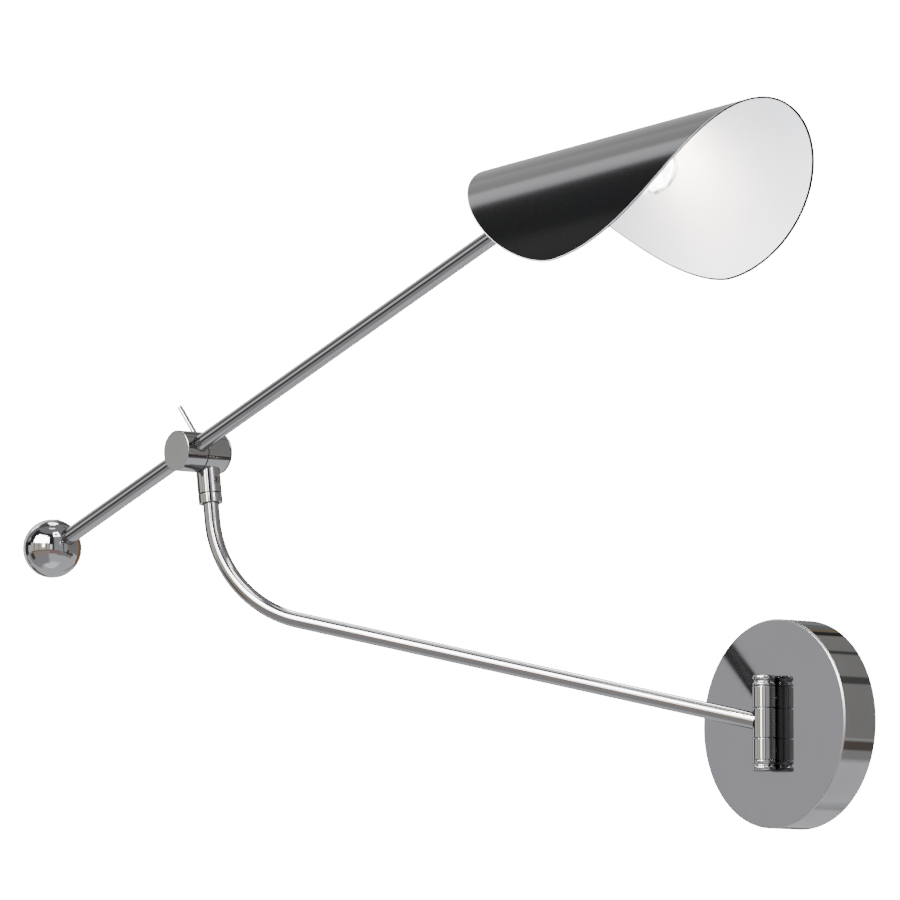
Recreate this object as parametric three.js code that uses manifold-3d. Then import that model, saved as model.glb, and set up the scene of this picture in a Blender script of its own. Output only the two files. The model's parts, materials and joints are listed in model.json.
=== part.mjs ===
// Swing arm wall sconce: a round wall plate with a hinge, a bent arm tube, a swivelling tee, a
// counterweighted boom and a folded sheet shade with its lamp. Millimetres, +Z up. The wall is the
// plane y = 0, the lamp stands out from it towards -Y, and the origin is the middle of the bracket's back.

import * as THREE from 'three';
import { mergeVertices } from 'three/addons/utils/BufferGeometryUtils.js';
import Module from 'manifold-3d';

const wasm = await Module();
wasm.setup();

// Driving dimensions. GAP is left between neighbouring pieces.
const GAP = 0.3;

const PLATE_RADIUS = 60.325;
const PLATE_DEPTH = 24.5;
const PLATE_WALL = 1.6;
const PLATE_FACE = 2.2;
const PLATE_CHAMFER = 0.8;
const SIDE_SCREW_Y = -9;
const SIDE_SCREW_RADIUS = 1.8;

const BRACKET_WIDTH = 22;
const BRACKET_SHEET = 2;
const BRACKET_REACH = 55;
const BRACKET_TAB = 16;
const SLOT_WIDTH = 4.8;
const SLOT_LENGTH = 12;
const SLOT_HEIGHT = 35;
const EARTH_PLACE = [6.5, 0, -22];
const TERMINAL_HEIGHTS = [-8, 0, 8];

const HINGE_OUT = 6.9;
const KNUCKLE_RADIUS = 6.7;
const MIDDLE_HALF = 8.55;
const KNUCKLE_TOP = 21.2;
const FINIAL_TOP = 27.5;
const PIN_RADIUS = 4;
const STUD_RADIUS = 2.5;
const STUD_HEIGHT = 15;
const STUD_END_Y = -16.5;

const TUBE_RADIUS = 4.7625;
const TUBE_BORE = 3.5;
const CABLE_RADIUS = 1.6;

const ARM_SWING = 54.54;
const ARM_RISE = 13.06;
const ARM_STRAIGHT = 285.2;
const BEND_RADIUS = 70.2;
const BEND_TURN = 70.14;
const STEM_RUN = 41;

const SLEEVE_RADIUS = 7.1;
const SLEEVE_BOTTOM = -24.7;
const COLLAR_BOTTOM = -30.6;
const SPIGOT_RADIUS = 4.8;
const SPIGOT_TOP = -10.5;
const SET_SCREW_HEIGHTS = [-17.7, -22];

const BARREL_RADIUS = 12;
const BARREL_FRONT = -22.55;
const BARREL_REAR = 10.2;
const SEAM = -7.25;
const HUB_RADIUS = 5;
const HUB_END = 5.5;
const CAP_THICKNESS = 1.3;

const LEVER_RADIUS = 1.5;
const LEVER_LENGTH = 38.9;
const LEVER_ANGLE = 122.8;
const LEVER_TRAVEL = 55;

const ROD_OUT = 12.76;
const ROD_RISE = 11.55;
const BALL_RADIUS = 17.72;
const BALL_REACH = 142.05;
const HEAD_REACH = 353.5;
const HEAD_DROP = 15.78;

const FORK_BASE = 7.3;
const WEB_START = 10.6;
const CUP_START = 12.7;
const CUP_END = 44;
const CUP_RADIUS = 12;
const BULB_CENTRE = 75.6;
const BULB_RADIUS = 16.3;

const SHEET = 1;
const RIDGE_MID = new THREE.Vector3(65.1, 0, 20.1);
const BLANK = { front: 110.9, rear: 114, side: 109.6, frontPower: 1.9, rearPower: 1.61 };
const FOLD = { radius: 50.6, slope: THREE.MathUtils.degToRad(91.2) };
const STUD_XS = [21, 33];

const CHROME = { color: 0xb9bbc0, roughness: 0.12, metalness: 1 };
const STEEL = { color: 0x9a9a98, roughness: 0.35, metalness: 1 };
const BRASS = { color: 0xc2a25a, roughness: 0.3, metalness: 1 };
const BLACK_PAINT = { color: 0x1d1e20, roughness: 0.45, metalness: 0 };
const NYLON = { color: 0x2a2a2c, roughness: 0.6, metalness: 0 };
const CERAMIC = { color: 0xe8e4da, roughness: 0.4, metalness: 0 };
const GREEN = { color: 0x2f7a3c, roughness: 0.4, metalness: 1 };
const GLASS = { color: 0xf4f6f8, roughness: 0.02, metalness: 0 };
const GLOW = { color: 0xffd890, roughness: 0.5, metalness: 0 };

const rad = THREE.MathUtils.degToRad;

// Solids and geometries ------------------------------------------------------------------------

function cleaned(geometry) {
  const bare = geometry.clone();
  bare.deleteAttribute('normal');
  bare.deleteAttribute('uv');
  const joined = mergeVertices(bare, 1e-4);
  const index = joined.index.array;
  const kept = [];
  for (let i = 0; i < index.length; i += 3) {
    const [a, b, c] = index.slice(i, i + 3);
    if (a !== b && b !== c && c !== a) kept.push(a, b, c);
  }
  if (volumeOf(joined.attributes.position, kept) < 0) kept.reverse();
  joined.setIndex(kept);
  return joined;
}

function volumeOf(position, index) {
  const [a, b, c] = [new THREE.Vector3(), new THREE.Vector3(), new THREE.Vector3()];
  let sum = 0;
  for (let i = 0; i < index.length; i += 3) {
    a.fromBufferAttribute(position, index[i]);
    b.fromBufferAttribute(position, index[i + 1]);
    c.fromBufferAttribute(position, index[i + 2]);
    sum += a.dot(b.cross(c));
  }
  return sum;
}

function solidOf(geometry) {
  const shape = cleaned(geometry);
  const vertProperties = new Float32Array(shape.attributes.position.array);
  const triVerts = new Uint32Array(shape.index.array);
  return new wasm.Manifold(new wasm.Mesh({ numProp: 3, vertProperties, triVerts }));
}

function geometryOf(solid) {
  const { vertProperties, triVerts } = solid.getMesh();
  const geometry = new THREE.BufferGeometry();
  geometry.setAttribute('position', new THREE.BufferAttribute(vertProperties, 3));
  geometry.setIndex(new THREE.BufferAttribute(triVerts, 1));
  return geometry;
}

function cut(body, ...tools) {
  return geometryOf(tools.reduce((solid, tool) => solid.subtract(solidOf(tool)), solidOf(body)));
}

function join(body, ...others) {
  return geometryOf(others.reduce((solid, other) => solid.add(solidOf(other)), solidOf(body)));
}

// Lathe about Z: outline is a list of [radius, z], which ends on the axis or closes on itself.
function lathe(outline, segments = 16) {
  const points = outline.map(([radius, height]) => new THREE.Vector2(radius, height));
  return new THREE.LatheGeometry(points, segments).rotateX(Math.PI / 2);
}

function disc(radius, from, to, segments = 16) {
  return lathe([[0, from], [radius, from], [radius, to], [0, to]], segments);
}

function ring(inner, outer, from, to, segments = 16) {
  return lathe([[inner, from], [outer, from], [outer, to], [inner, to], [inner, from]], segments);
}

function box(x, y, z) {
  const geometry = new THREE.BoxGeometry(x[1] - x[0], y[1] - y[0], z[1] - z[0]);
  return geometry.translate((x[0] + x[1]) / 2, (y[0] + y[1]) / 2, (z[0] + z[1]) / 2);
}

const alongX = (geometry) => geometry.rotateY(Math.PI / 2);
const alongY = (geometry) => geometry.rotateX(-Math.PI / 2);

// A nut: a hexagonal ring from one height to another.
function nut(bore, corner, from, to) {
  return cut(disc(corner, from, to, 6), disc(bore, from - 1, to + 1, 12));
}

// A grub screw with a hexagon socket in its upper end.
function grubScrew(radius, from, to) {
  const socket = disc(radius * 0.55, to - radius, to + 1, 6);
  return cut(disc(radius, from, to, 12), socket);
}

function sweep(path, outer, inner, sides, steps) {
  const section = new THREE.Shape().absarc(0, 0, outer, 0, 2 * Math.PI);
  if (inner > 0) section.holes.push(new THREE.Path().absarc(0, 0, inner, 0, 2 * Math.PI, true));
  const options = { extrudePath: path, steps, bevelEnabled: false, curveSegments: sides };
  return new THREE.ExtrudeGeometry(section, options);
}

function place(group, name, geometry, look) {
  const mesh = new THREE.Mesh(geometry, new THREE.MeshStandardMaterial(look));
  mesh.name = name;
  group.add(mesh);
}

// Two alike, above and below: each is its own piece.
function placePair(group, names, make, look) {
  place(group, names[0], make(1), look);
  place(group, names[1], cleaned(make(-1)), look);
}

// Wall plate and what is inside it --------------------------------------------------------------

function backplate() {
  const inner = PLATE_RADIUS - PLATE_WALL;
  const rim = PLATE_RADIUS - PLATE_CHAMFER;
  const cup = lathe([
    [0, PLATE_DEPTH], [rim, PLATE_DEPTH], [PLATE_RADIUS, PLATE_DEPTH - PLATE_CHAMFER],
    [PLATE_RADIUS, 0], [inner, 0], [inner, PLATE_DEPTH - PLATE_FACE], [0, PLATE_DEPTH - PLATE_FACE],
  ], 64).rotateX(Math.PI / 2);
  const studHole = (side) => {
    const hole = alongY(disc(STUD_RADIUS + GAP, -PLATE_DEPTH - 1, PLATE_FACE - PLATE_DEPTH + 1, 12));
    return hole.translate(0, 0, side * STUD_HEIGHT);
  };
  const sideHole = (side) => {
    const hole = disc(SIDE_SCREW_RADIUS + GAP, inner - 5, PLATE_RADIUS + 5, 12);
    return hole.scale(1, 1, side).translate(0, SIDE_SCREW_Y, 0);
  };
  return cut(cup, studHole(1), studHole(-1), sideHole(1), sideHole(-1));
}

function mountingBracket() {
  const half = BRACKET_WIDTH / 2;
  const strap = box([-half, half], [-BRACKET_SHEET, 0], [-BRACKET_REACH, BRACKET_REACH]);
  const tab = (side) => {
    const upright = box([-half, half], [-BRACKET_TAB, 0], [BRACKET_REACH - BRACKET_SHEET, BRACKET_REACH]);
    return cleaned(upright.scale(1, 1, side));
  };
  const slot = (side) => {
    const hole = box([-SLOT_WIDTH / 2, SLOT_WIDTH / 2], [-5, 1], [-SLOT_LENGTH / 2, SLOT_LENGTH / 2]);
    return hole.translate(0, 0, side * SLOT_HEIGHT);
  };
  const thread = (side) => {
    const hole = disc(SIDE_SCREW_RADIUS + GAP, BRACKET_REACH - 5, BRACKET_REACH + 5, 12);
    return hole.scale(1, 1, side).translate(0, SIDE_SCREW_Y, 0);
  };
  const earth = alongY(disc(2, -5, 1, 12)).translate(...EARTH_PLACE);
  return cut(join(strap, tab(1), tab(-1)), slot(1), slot(-1), thread(1), thread(-1), earth);
}

function wallGroup() {
  const wall = new THREE.Group();
  place(wall, 'backplate', backplate(), CHROME);
  place(wall, 'mounting_bracket', mountingBracket(), STEEL);
  const sideScrew = (side) => {
    const screw = grubScrew(SIDE_SCREW_RADIUS, 51.5, 60);
    return screw.scale(1, 1, side).translate(0, SIDE_SCREW_Y, 0);
  };
  placePair(wall, ['upper_side_screw', 'lower_side_screw'], sideScrew, STEEL);
  const earth = lathe([[0, 0.2], [1.7, 0.2], [1.7, 2.3], [3.6, 2.3], [3.6, 3.4], [2.6, 4.4], [0, 4.4]], 12);
  place(wall, 'ground_screw', earth.rotateX(Math.PI / 2).translate(...EARTH_PLACE), GREEN);
  wall.add(terminals());
  return wall;
}

function terminals() {
  const group = new THREE.Group();
  const wells = TERMINAL_HEIGHTS.map((z) => alongY(disc(2, -20, -5.5, 12)).translate(0, 0, z));
  place(group, 'terminal_block', cut(box([-8, 8], [-13.5, -2.3], [-13, 13]), ...wells), CERAMIC);
  TERMINAL_HEIGHTS.forEach((z, count) => {
    place(group, `terminal_screw_${count + 1}`, alongY(disc(1.7, -12.5, -6, 12)).translate(0, 0, z), BRASS);
  });
  const route = new THREE.CatmullRomCurve3([
    new THREE.Vector3(0, -6.5, -14), new THREE.Vector3(0, -6, -19), new THREE.Vector3(0, -8.5, -23.5),
    new THREE.Vector3(0, -12.5, -22.5), new THREE.Vector3(0, -13.8, -18), new THREE.Vector3(0, -16, -15),
  ]);
  place(group, 'supply_lead', sweep(route, 1.1, 0, 3, 12), NYLON);
  return group;
}

// Hinge on the plate: two end knuckles, a hollow pin and two finials ---------------------------

function endKnuckle(side) {
  const sleeve = lathe([
    [PIN_RADIUS + GAP, 9.75], [5.6, 9.75], [5.6, 8.85], [KNUCKLE_RADIUS - 0.25, 8.85],
    [KNUCKLE_RADIUS, 9.1], [KNUCKLE_RADIUS, KNUCKLE_TOP - 0.25], [KNUCKLE_RADIUS - 0.25, KNUCKLE_TOP],
    [PIN_RADIUS + GAP, KNUCKLE_TOP], [PIN_RADIUS + GAP, 9.75],
  ]);
  const studLength = PLATE_DEPTH + HINGE_OUT + STUD_END_Y;
  const stud = alongY(disc(STUD_RADIUS, 5.5, studLength, 12)).translate(0, 0, STUD_HEIGHT);
  const bore = alongY(disc(1.5, 2, studLength + 5, 8)).translate(0, 0, STUD_HEIGHT);
  return cut(join(sleeve, stud), bore).scale(1, 1, side);
}

// The finial is turned solid and then drilled for the pin.
function finial(side) {
  const r = KNUCKLE_RADIUS;
  const turned = lathe([
    [0, KNUCKLE_TOP + GAP], [r - 0.3, KNUCKLE_TOP + GAP], [r, KNUCKLE_TOP + 0.6], [r, 22.6],
    [r - 0.9, 23.5], [r - 0.9, 24.4], [r, 25.3], [r, 26.7], [r - 0.5, 27.2], [r - 1.6, FINIAL_TOP],
    [0, FINIAL_TOP],
  ]);
  return cut(turned, disc(PIN_RADIUS + GAP, 15, 25 + GAP)).scale(1, 1, side);
}

function hingeGroup() {
  const hinge = new THREE.Group();
  hinge.position.set(0, -PLATE_DEPTH - HINGE_OUT, 0);
  placePair(hinge, ['upper_knuckle', 'lower_knuckle'], endKnuckle, CHROME);
  placePair(hinge, ['top_finial', 'bottom_finial'], finial, CHROME);
  const window = alongX(disc(2.2, -9, 0, 10));
  place(hinge, 'hinge_pin', cut(ring(2.6, PIN_RADIUS, -25, 25), window), STEEL);
  const thrust = (side) => ring(4.3, 5.3, 8.9, 9.45).scale(1, 1, side);
  placePair(hinge, ['upper_thrust_washer', 'lower_thrust_washer'], thrust, NYLON);
  const axisY = PLATE_DEPTH + HINGE_OUT;
  const bore = STUD_RADIUS + GAP;
  const washer = (side) => {
    const flat = alongY(ring(bore, 6, axisY - 22, axisY - 21.2));
    return flat.translate(0, 0, side * STUD_HEIGHT);
  };
  placePair(hinge, ['upper_stud_washer', 'lower_stud_washer'], washer, STEEL);
  const fixing = (side) => {
    const hexagon = alongY(nut(bore, 4.6, axisY - 20.9, axisY - 17.4));
    return hexagon.translate(0, 0, side * STUD_HEIGHT);
  };
  placePair(hinge, ['upper_stud_nut', 'lower_stud_nut'], fixing, STEEL);
  return hinge;
}

// Swinging arm -----------------------------------------------------------------------------------

// The bend's plane is turned about the tube so that the stem leans along the wall and not away from it.
function armTwist() {
  const swing = rad(ARM_SWING);
  const rise = rad(ARM_RISE);
  const turn = rad(BEND_TURN);
  const up = Math.cos(swing) * Math.sin(rise);
  const side = Math.sin(swing);
  const wanted = (Math.cos(turn) * Math.cos(swing) * Math.cos(rise)) / Math.sin(turn);
  return Math.asin(wanted / Math.hypot(up, side)) - Math.atan2(up, side);
}

class ArmLine extends THREE.Curve {
  constructor(start, end) {
    super();
    this.start = start;
    this.bend = BEND_RADIUS * rad(BEND_TURN);
    this.total = ARM_STRAIGHT + this.bend + end;
  }

  getPoint(t, target = new THREE.Vector3()) {
    const run = this.start + t * (this.total - this.start);
    const turned = THREE.MathUtils.clamp((run - ARM_STRAIGHT) / this.bend, 0, 1) * rad(BEND_TURN);
    const straight = Math.min(run, ARM_STRAIGHT);
    const beyond = Math.max(run - ARM_STRAIGHT - this.bend, 0);
    const x = straight + BEND_RADIUS * Math.sin(turned) + beyond * Math.cos(turned);
    const z = BEND_RADIUS * (1 - Math.cos(turned)) + beyond * Math.sin(turned);
    return target.set(x, 0, z);
  }
}

function middleKnuckle() {
  const h = MIDDLE_HALF;
  const r = KNUCKLE_RADIUS;
  const b = PIN_RADIUS + GAP;
  const sleeve = lathe([
    [b, -h], [r - 0.25, -h], [r, -h + 0.25], [r, h - 0.25], [r - 0.25, h], [b, h], [b, -h],
  ]);
  return cut(sleeve, alongX(disc(TUBE_RADIUS + GAP, 4.6, 20)).rotateY(-rad(ARM_RISE)));
}

function armGroup() {
  const arm = new THREE.Group();
  arm.position.set(0, -PLATE_DEPTH - HINGE_OUT, 0);
  arm.rotation.set(0, 0, -rad(90 + ARM_SWING));
  place(arm, 'middle_knuckle', middleKnuckle(), CHROME);
  const tube = new THREE.Group();
  tube.rotation.set(armTwist(), -rad(ARM_RISE), 0, 'ZYX');
  arm.add(tube);
  const tubeEnd = STEM_RUN + COLLAR_BOTTOM + 2.6;
  place(tube, 'arm_tube', sweep(new ArmLine(5.4, tubeEnd), TUBE_RADIUS, TUBE_BORE, 6, 26), CHROME);
  place(tube, 'arm_cable', sweep(new ArmLine(9, STEM_RUN - 13), CABLE_RADIUS, 0, 3, 26), NYLON);
  const stem = new THREE.Group();
  stem.position.copy(new ArmLine(0, STEM_RUN).getPoint(1));
  stem.rotation.y = Math.PI / 2 - rad(BEND_TURN);
  tube.add(stem);
  const top = SLEEVE_BOTTOM - GAP;
  const r = SLEEVE_RADIUS;
  place(stem, 'swivel_collar', lathe([
    [TUBE_RADIUS + GAP, COLLAR_BOTTOM], [r - 0.4, COLLAR_BOTTOM], [r, COLLAR_BOTTOM + 0.4], [r, top],
    [TUBE_RADIUS + GAP, top], [TUBE_RADIUS + GAP, COLLAR_BOTTOM],
  ]), CHROME);
  place(stem, 'swivel_spigot', lathe([
    [2.6, -27.6], [SPIGOT_RADIUS, -27.6], [SPIGOT_RADIUS, -23.8], [3.9, -23.8], [3.9, -15.9],
    [SPIGOT_RADIUS, -15.9], [SPIGOT_RADIUS, SPIGOT_TOP], [2.6, SPIGOT_TOP], [2.6, -27.6],
  ]), STEEL);
  return { arm, stem };
}

// Tee: sleeve and rear half of the barrel, which hold the clamp ----------------------------------

function teeBody() {
  const front = SEAM + GAP / 2;
  const rear = BARREL_REAR - CAP_THICKNESS - GAP;
  const barrel = alongY(lathe([
    [0, front], [BARREL_RADIUS, front], [BARREL_RADIUS, rear], [0, rear],
  ], 24));
  const sleeve = lathe([
    [0, SLEEVE_BOTTOM], [SLEEVE_RADIUS - 0.3, SLEEVE_BOTTOM], [SLEEVE_RADIUS, SLEEVE_BOTTOM + 0.3],
    [SLEEVE_RADIUS, -4], [0, -4],
  ], 24);
  const recess = alongY(disc(10, front - 1, front + 1.3));
  const hubHole = alongY(disc(HUB_RADIUS + GAP, front - 1, 0));
  const cavity = alongY(disc(10.2, -3.6, rear + 1, 20));
  const sleeveBore = disc(SPIGOT_RADIUS + GAP, SLEEVE_BOTTOM - 1, -8);
  const screwHoles = SET_SCREW_HEIGHTS.map((z) => alongX(disc(1.8, 3, 9, 12)).translate(0, 0, z));
  return cut(join(barrel, sleeve), recess, hubHole, cavity, sleeveBore, leverSlot(), ...screwHoles);
}

// The lever swings from LEVER_ANGLE back over the top by LEVER_TRAVEL, in a slot through the shell.
function leverSlot() {
  const margin = 10;
  const from = rad(LEVER_ANGLE - LEVER_TRAVEL - margin);
  const to = rad(LEVER_ANGLE + margin);
  const sector = new THREE.Shape();
  sector.absarc(0, 0, BARREL_RADIUS + 3, from, to, false);
  sector.absarc(0, 0, 9.5, to, from, true);
  sector.closePath();
  const width = 2 * (LEVER_RADIUS + 0.4);
  const slot = new THREE.ExtrudeGeometry(sector, { depth: width, bevelEnabled: false, curveSegments: 5 });
  return slot.translate(0, 0, -width / 2).rotateX(Math.PI / 2);
}

function rearCap() {
  const back = BARREL_REAR;
  const face = back - CAP_THICKNESS;
  return alongY(lathe([
    [0, face], [7.9, face], [7.9, face - 2], [9.9, face - 2], [9.9, face], [BARREL_RADIUS, face],
    [BARREL_RADIUS, back - 0.5], [BARREL_RADIUS - 0.5, back], [0, back],
  ], 24));
}

function leverGroup() {
  const lever = new THREE.Group();
  const tilt = Math.PI / 2 - rad(LEVER_ANGLE);
  const socket = disc(LEVER_RADIUS + GAP, 6, 12, 12).rotateY(tilt);
  place(lever, 'clamp_nut', cut(alongY(ring(HUB_RADIUS + GAP, 8.6, -2, 4)), socket), STEEL);
  const tip = LEVER_LENGTH;
  const r = LEVER_RADIUS;
  const outline = [[0, 6.4], [r, 6.4], [r, tip - 0.8], [r - 0.3, tip - 0.3], [r - 0.8, tip], [0, tip]];
  place(lever, 'lock_lever', lathe(outline, 12).rotateY(tilt), CHROME);
  return lever;
}

function teeGroup(stem) {
  const tee = new THREE.Group();
  stem.updateWorldMatrix(true, false);
  const upward = new THREE.Vector3(0, 0, 1).transformDirection(stem.matrixWorld);
  tee.position.setFromMatrixPosition(stem.matrixWorld);
  tee.rotation.y = Math.atan2(upward.x, upward.z);
  place(tee, 'tee_body', teeBody(), CHROME);
  SET_SCREW_HEIGHTS.forEach((z, count) => {
    const screw = alongX(grubScrew(1.5, 4.25, 7)).translate(0, 0, z);
    place(tee, `sleeve_set_screw_${count + 1}`, screw, STEEL);
  });
  place(tee, 'barrel_rear_cap', rearCap(), CHROME);
  place(tee, 'friction_disc', alongY(ring(5.8, 9.7, -6.5, -5.9)), NYLON);
  place(tee, 'spring_washer', alongY(lathe([
    [5.6, -3.1], [9, -2.8], [9, -2.3], [5.6, -2.6], [5.6, -3.1],
  ])), STEEL);
  tee.add(leverGroup());
  return tee;
}

// Boom: front half of the barrel, rod and counterweight ------------------------------------------

function barrelFront() {
  const front = BARREL_FRONT + ROD_OUT;
  const rear = SEAM - GAP / 2 + ROD_OUT;
  const r = BARREL_RADIUS;
  const turned = alongY(lathe([[0, front], [r - 0.5, front], [r, front + 0.5], [r, rear], [0, rear]], 24));
  const hub = alongY(disc(HUB_RADIUS, rear - 1, HUB_END + ROD_OUT));
  const rodBore = alongX(disc(TUBE_RADIUS + GAP, -20, 20));
  const cableBore = alongY(disc(2.4, 0, HUB_END + ROD_OUT + 1, 10));
  const screwHole = disc(1.8, 0, 20, 12);
  return cut(join(turned, hub), rodBore, cableBore, screwHole);
}

function counterweight() {
  const ball = new THREE.SphereGeometry(BALL_RADIUS, 20, 12).rotateX(Math.PI / 2);
  const bore = alongX(disc(TUBE_RADIUS + GAP, 5, 30));
  const screwHole = disc(2.3, 3, 30, 12).translate(9, 0, 0);
  return cut(ball, bore, screwHole);
}

function rodEnd() {
  const shank = alongX(lathe([
    [0, -27], [TUBE_BORE - GAP, -27], [TUBE_BORE - GAP, -15], [TUBE_RADIUS, -15], [TUBE_RADIUS, -10.2],
    [4.2, -9.6], [0, -9.6],
  ]));
  const tongue = join(box([-10, 0], [-2.6, 2.6], [-4, 4]), alongY(disc(6, -2.6, 2.6)));
  const pivot = alongY(disc(2.2, -5, 5, 12));
  return cut(join(shank, tongue), pivot);
}

function boomGroup() {
  const boom = new THREE.Group();
  boom.position.set(0, -ROD_OUT, 0);
  boom.rotation.y = -rad(ROD_RISE);
  place(boom, 'barrel_front', barrelFront(), CHROME);
  place(boom, 'retaining_ring', alongY(ring(5.3, 7, 4.4 + ROD_OUT, 5.2 + ROD_OUT)), STEEL);
  place(boom, 'rod_set_screw', grubScrew(1.5, 5.2, 11.3), STEEL);
  const rodEndX = HEAD_REACH - 15 - GAP;
  place(boom, 'boom_rod', alongX(ring(TUBE_BORE, TUBE_RADIUS, 6 - BALL_REACH, rodEndX)), CHROME);
  place(boom, 'boom_cable', alongX(disc(CABLE_RADIUS, 6, HEAD_REACH - 28, 8)), NYLON);
  const ball = new THREE.Group();
  ball.position.x = -BALL_REACH;
  place(ball, 'counterweight_ball', counterweight(), CHROME);
  place(ball, 'ball_set_screw', grubScrew(2, 5.2, 14.5).translate(9, 0, 0), STEEL);
  boom.add(ball);
  const end = new THREE.Group();
  end.position.x = HEAD_REACH;
  place(end, 'rod_end', rodEnd(), CHROME);
  boom.add(end);
  return boom;
}

// Head: fork, lamp socket, lamp and shade ----------------------------------------------------------

function headFork() {
  const ear = (side) => {
    const plate = join(box([0, FORK_BASE + 1], [2.9, 6.3], [-5.4, 5.4]), alongY(disc(6, 2.9, 6.3)));
    return cleaned(plate.scale(1, side, 1));
  };
  const base = alongX(disc(9, FORK_BASE, WEB_START - GAP));
  const pivot = alongY(disc(2.2, -10, 10, 12));
  const cable = alongX(disc(5.2, FORK_BASE - 1, WEB_START + 1));
  return cut(join(ear(1), ear(-1), base), pivot, cable);
}

function pivotScrew() {
  return alongY(lathe([
    [0, -9.2], [2.6, -9.2], [3.7, -8.2], [3.7, -6.6], [1.9, -6.6], [1.9, 10], [0, 10],
  ], 12));
}

function socketCup() {
  const r = CUP_RADIUS;
  const back = CUP_START;
  const outline = [
    [5.3, back], [r - 1.5, back], [r, back + 1.5], [r, CUP_END - 0.4], [r - 0.4, CUP_END], [r - 1, CUP_END],
    [r - 1, back + 2], [5.3, back + 2], [5.3, back],
  ];
  return alongX(lathe(outline, 20));
}

function lampSocket() {
  const back = CUP_START + 2.3;
  const outline = [
    [2.3, back], [8.6, back], [8.6, 41], [6.5, 41], [6.5, back + 3], [2.3, back + 3], [2.3, back],
  ];
  return alongX(lathe(outline));
}

function bulbBase() {
  const outline = [[0, 21.4], [2.2, 21.4], [2.4, 22.4], [5.2, 23.6]];
  for (let turn = 0; turn < 4; turn += 1) {
    outline.push([5.6, 24.8 + turn * 3.5], [5.2, 26.5 + turn * 3.5]);
  }
  outline.push([5.6, 39.5], [5.6, 41.5], [0, 41.5]);
  return alongX(lathe(outline, 16));
}

// The glass envelope: a globe that narrows to the neck, blown 0.8 mm thick and open at the neck.
function bulbGlass() {
  const neck = 41.8;
  const blend = 62;
  const neckSteps = 4;
  const globeSteps = 7;
  const profile = (inset) => {
    const points = [];
    for (let step = 0; step <= neckSteps; step += 1) {
      const t = step / neckSteps;
      const ease = t * t * (3 - 2 * t);
      const widest = Math.sqrt(BULB_RADIUS ** 2 - (BULB_CENTRE - blend) ** 2);
      points.push([THREE.MathUtils.lerp(5.9, widest, ease) - inset, THREE.MathUtils.lerp(neck, blend, t)]);
    }
    const start = Math.acos((blend - BULB_CENTRE) / BULB_RADIUS);
    for (let step = 1; step <= globeSteps; step += 1) {
      const angle = start * (1 - step / globeSteps);
      const r = BULB_RADIUS - inset;
      points.push([r * Math.sin(angle), BULB_CENTRE + r * Math.cos(angle)]);
    }
    points[points.length - 1][0] = 0;
    return points;
  };
  const outside = profile(0);
  return alongX(lathe([...outside, ...profile(0.8).reverse(), outside[0]], 16));
}

function filaments() {
  const mount = lathe([[0, 42.1], [3.6, 42.1], [3.2, 50], [1.6, 56], [1.2, 62], [0, 62]], 10);
  const stick = (angle) => disc(0.9, 61, 82, 6).translate(0, 4.5, 0).rotateZ(angle);
  const spoke = (angle) => box([-0.4, 0.4], [0, 4.6], [60.6, 61.6]).rotateZ(angle);
  const angles = [0, 120, 240].map(rad);
  const spokes = angles.map(spoke);
  const sticks = angles.map(stick);
  return alongX(join(mount, ...spokes, ...sticks));
}

// The shade is an oval blank folded over a soft ridge: bent(w) follows the sheet from the ridge outwards.
function bent(w, depth) {
  const steps = 40;
  const reach = Math.abs(w);
  const slopeAt = (a) => FOLD.slope * Math.tanh(a / (FOLD.radius * FOLD.slope));
  let y = 0;
  let z = 0;
  for (let step = 0; step < steps; step += 1) {
    const slope = slopeAt(((step + 0.5) * reach) / steps);
    y += (Math.cos(slope) * reach) / steps;
    z -= (Math.sin(slope) * reach) / steps;
  }
  const end = slopeAt(reach);
  return [Math.sign(w) * (y - depth * Math.sin(end)), z - depth * Math.cos(end)];
}

function shadeSheet() {
  const rings = 7;
  const outline = [[0, 0]];
  for (let count = 1; count <= rings; count += 1) outline.push([count / rings, 0]);
  for (let count = rings; count >= 1; count -= 1) outline.push([count / rings, SHEET]);
  outline.push([0, SHEET]);
  const sheet = cleaned(lathe(outline, 36));
  const position = sheet.attributes.position;
  for (let i = 0; i < position.count; i += 1) {
    const reach = Math.hypot(position.getX(i), position.getY(i));
    const angle = Math.atan2(position.getY(i), position.getX(i));
    const forward = Math.cos(angle) >= 0;
    const power = 2 / (forward ? BLANK.frontPower : BLANK.rearPower);
    const length = forward ? BLANK.front : -BLANK.rear;
    const s = reach * length * Math.abs(Math.cos(angle)) ** power;
    const w = reach * BLANK.side * Math.sign(Math.sin(angle)) * Math.abs(Math.sin(angle)) ** power;
    const [y, z] = bent(w, position.getZ(i));
    position.setXYZ(i, RIDGE_MID.x + s, y, RIDGE_MID.z + z);
  }
  return cleaned(sheet);
}

function shade() {
  const underside = RIDGE_MID.z - SHEET;
  const studs = STUD_XS.map((x) => disc(1.5, underside - 4.6, underside + 0.4, 10).translate(x, 0, 0));
  return join(shadeSheet(), ...studs);
}

function shadeBracket() {
  const outer = SHEET + GAP;
  const inner = outer + 1.5;
  const follow = (depth) => [-9, -6, -3, 0, 3, 6, 9].map((w) => new THREE.Vector2(...bent(w, depth)));
  const section = new THREE.Shape([...follow(outer), ...follow(inner).reverse()]);
  const pad = new THREE.ExtrudeGeometry(section, { depth: 27.5, bevelEnabled: false });
  pad.rotateX(Math.PI / 2).rotateZ(Math.PI / 2).translate(WEB_START, 0, RIDGE_MID.z);
  const web = box([WEB_START, CUP_START - GAP], [-7, 7], [-9, RIDGE_MID.z - outer - 1]);
  const nippleHole = alongX(disc(5.3, WEB_START - 1, CUP_START + 1));
  const studHoles = STUD_XS.map((x) => disc(1.8, 10, 25, 10).translate(x, 0, 0));
  return cut(join(web, pad), nippleHole, ...studHoles);
}

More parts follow.
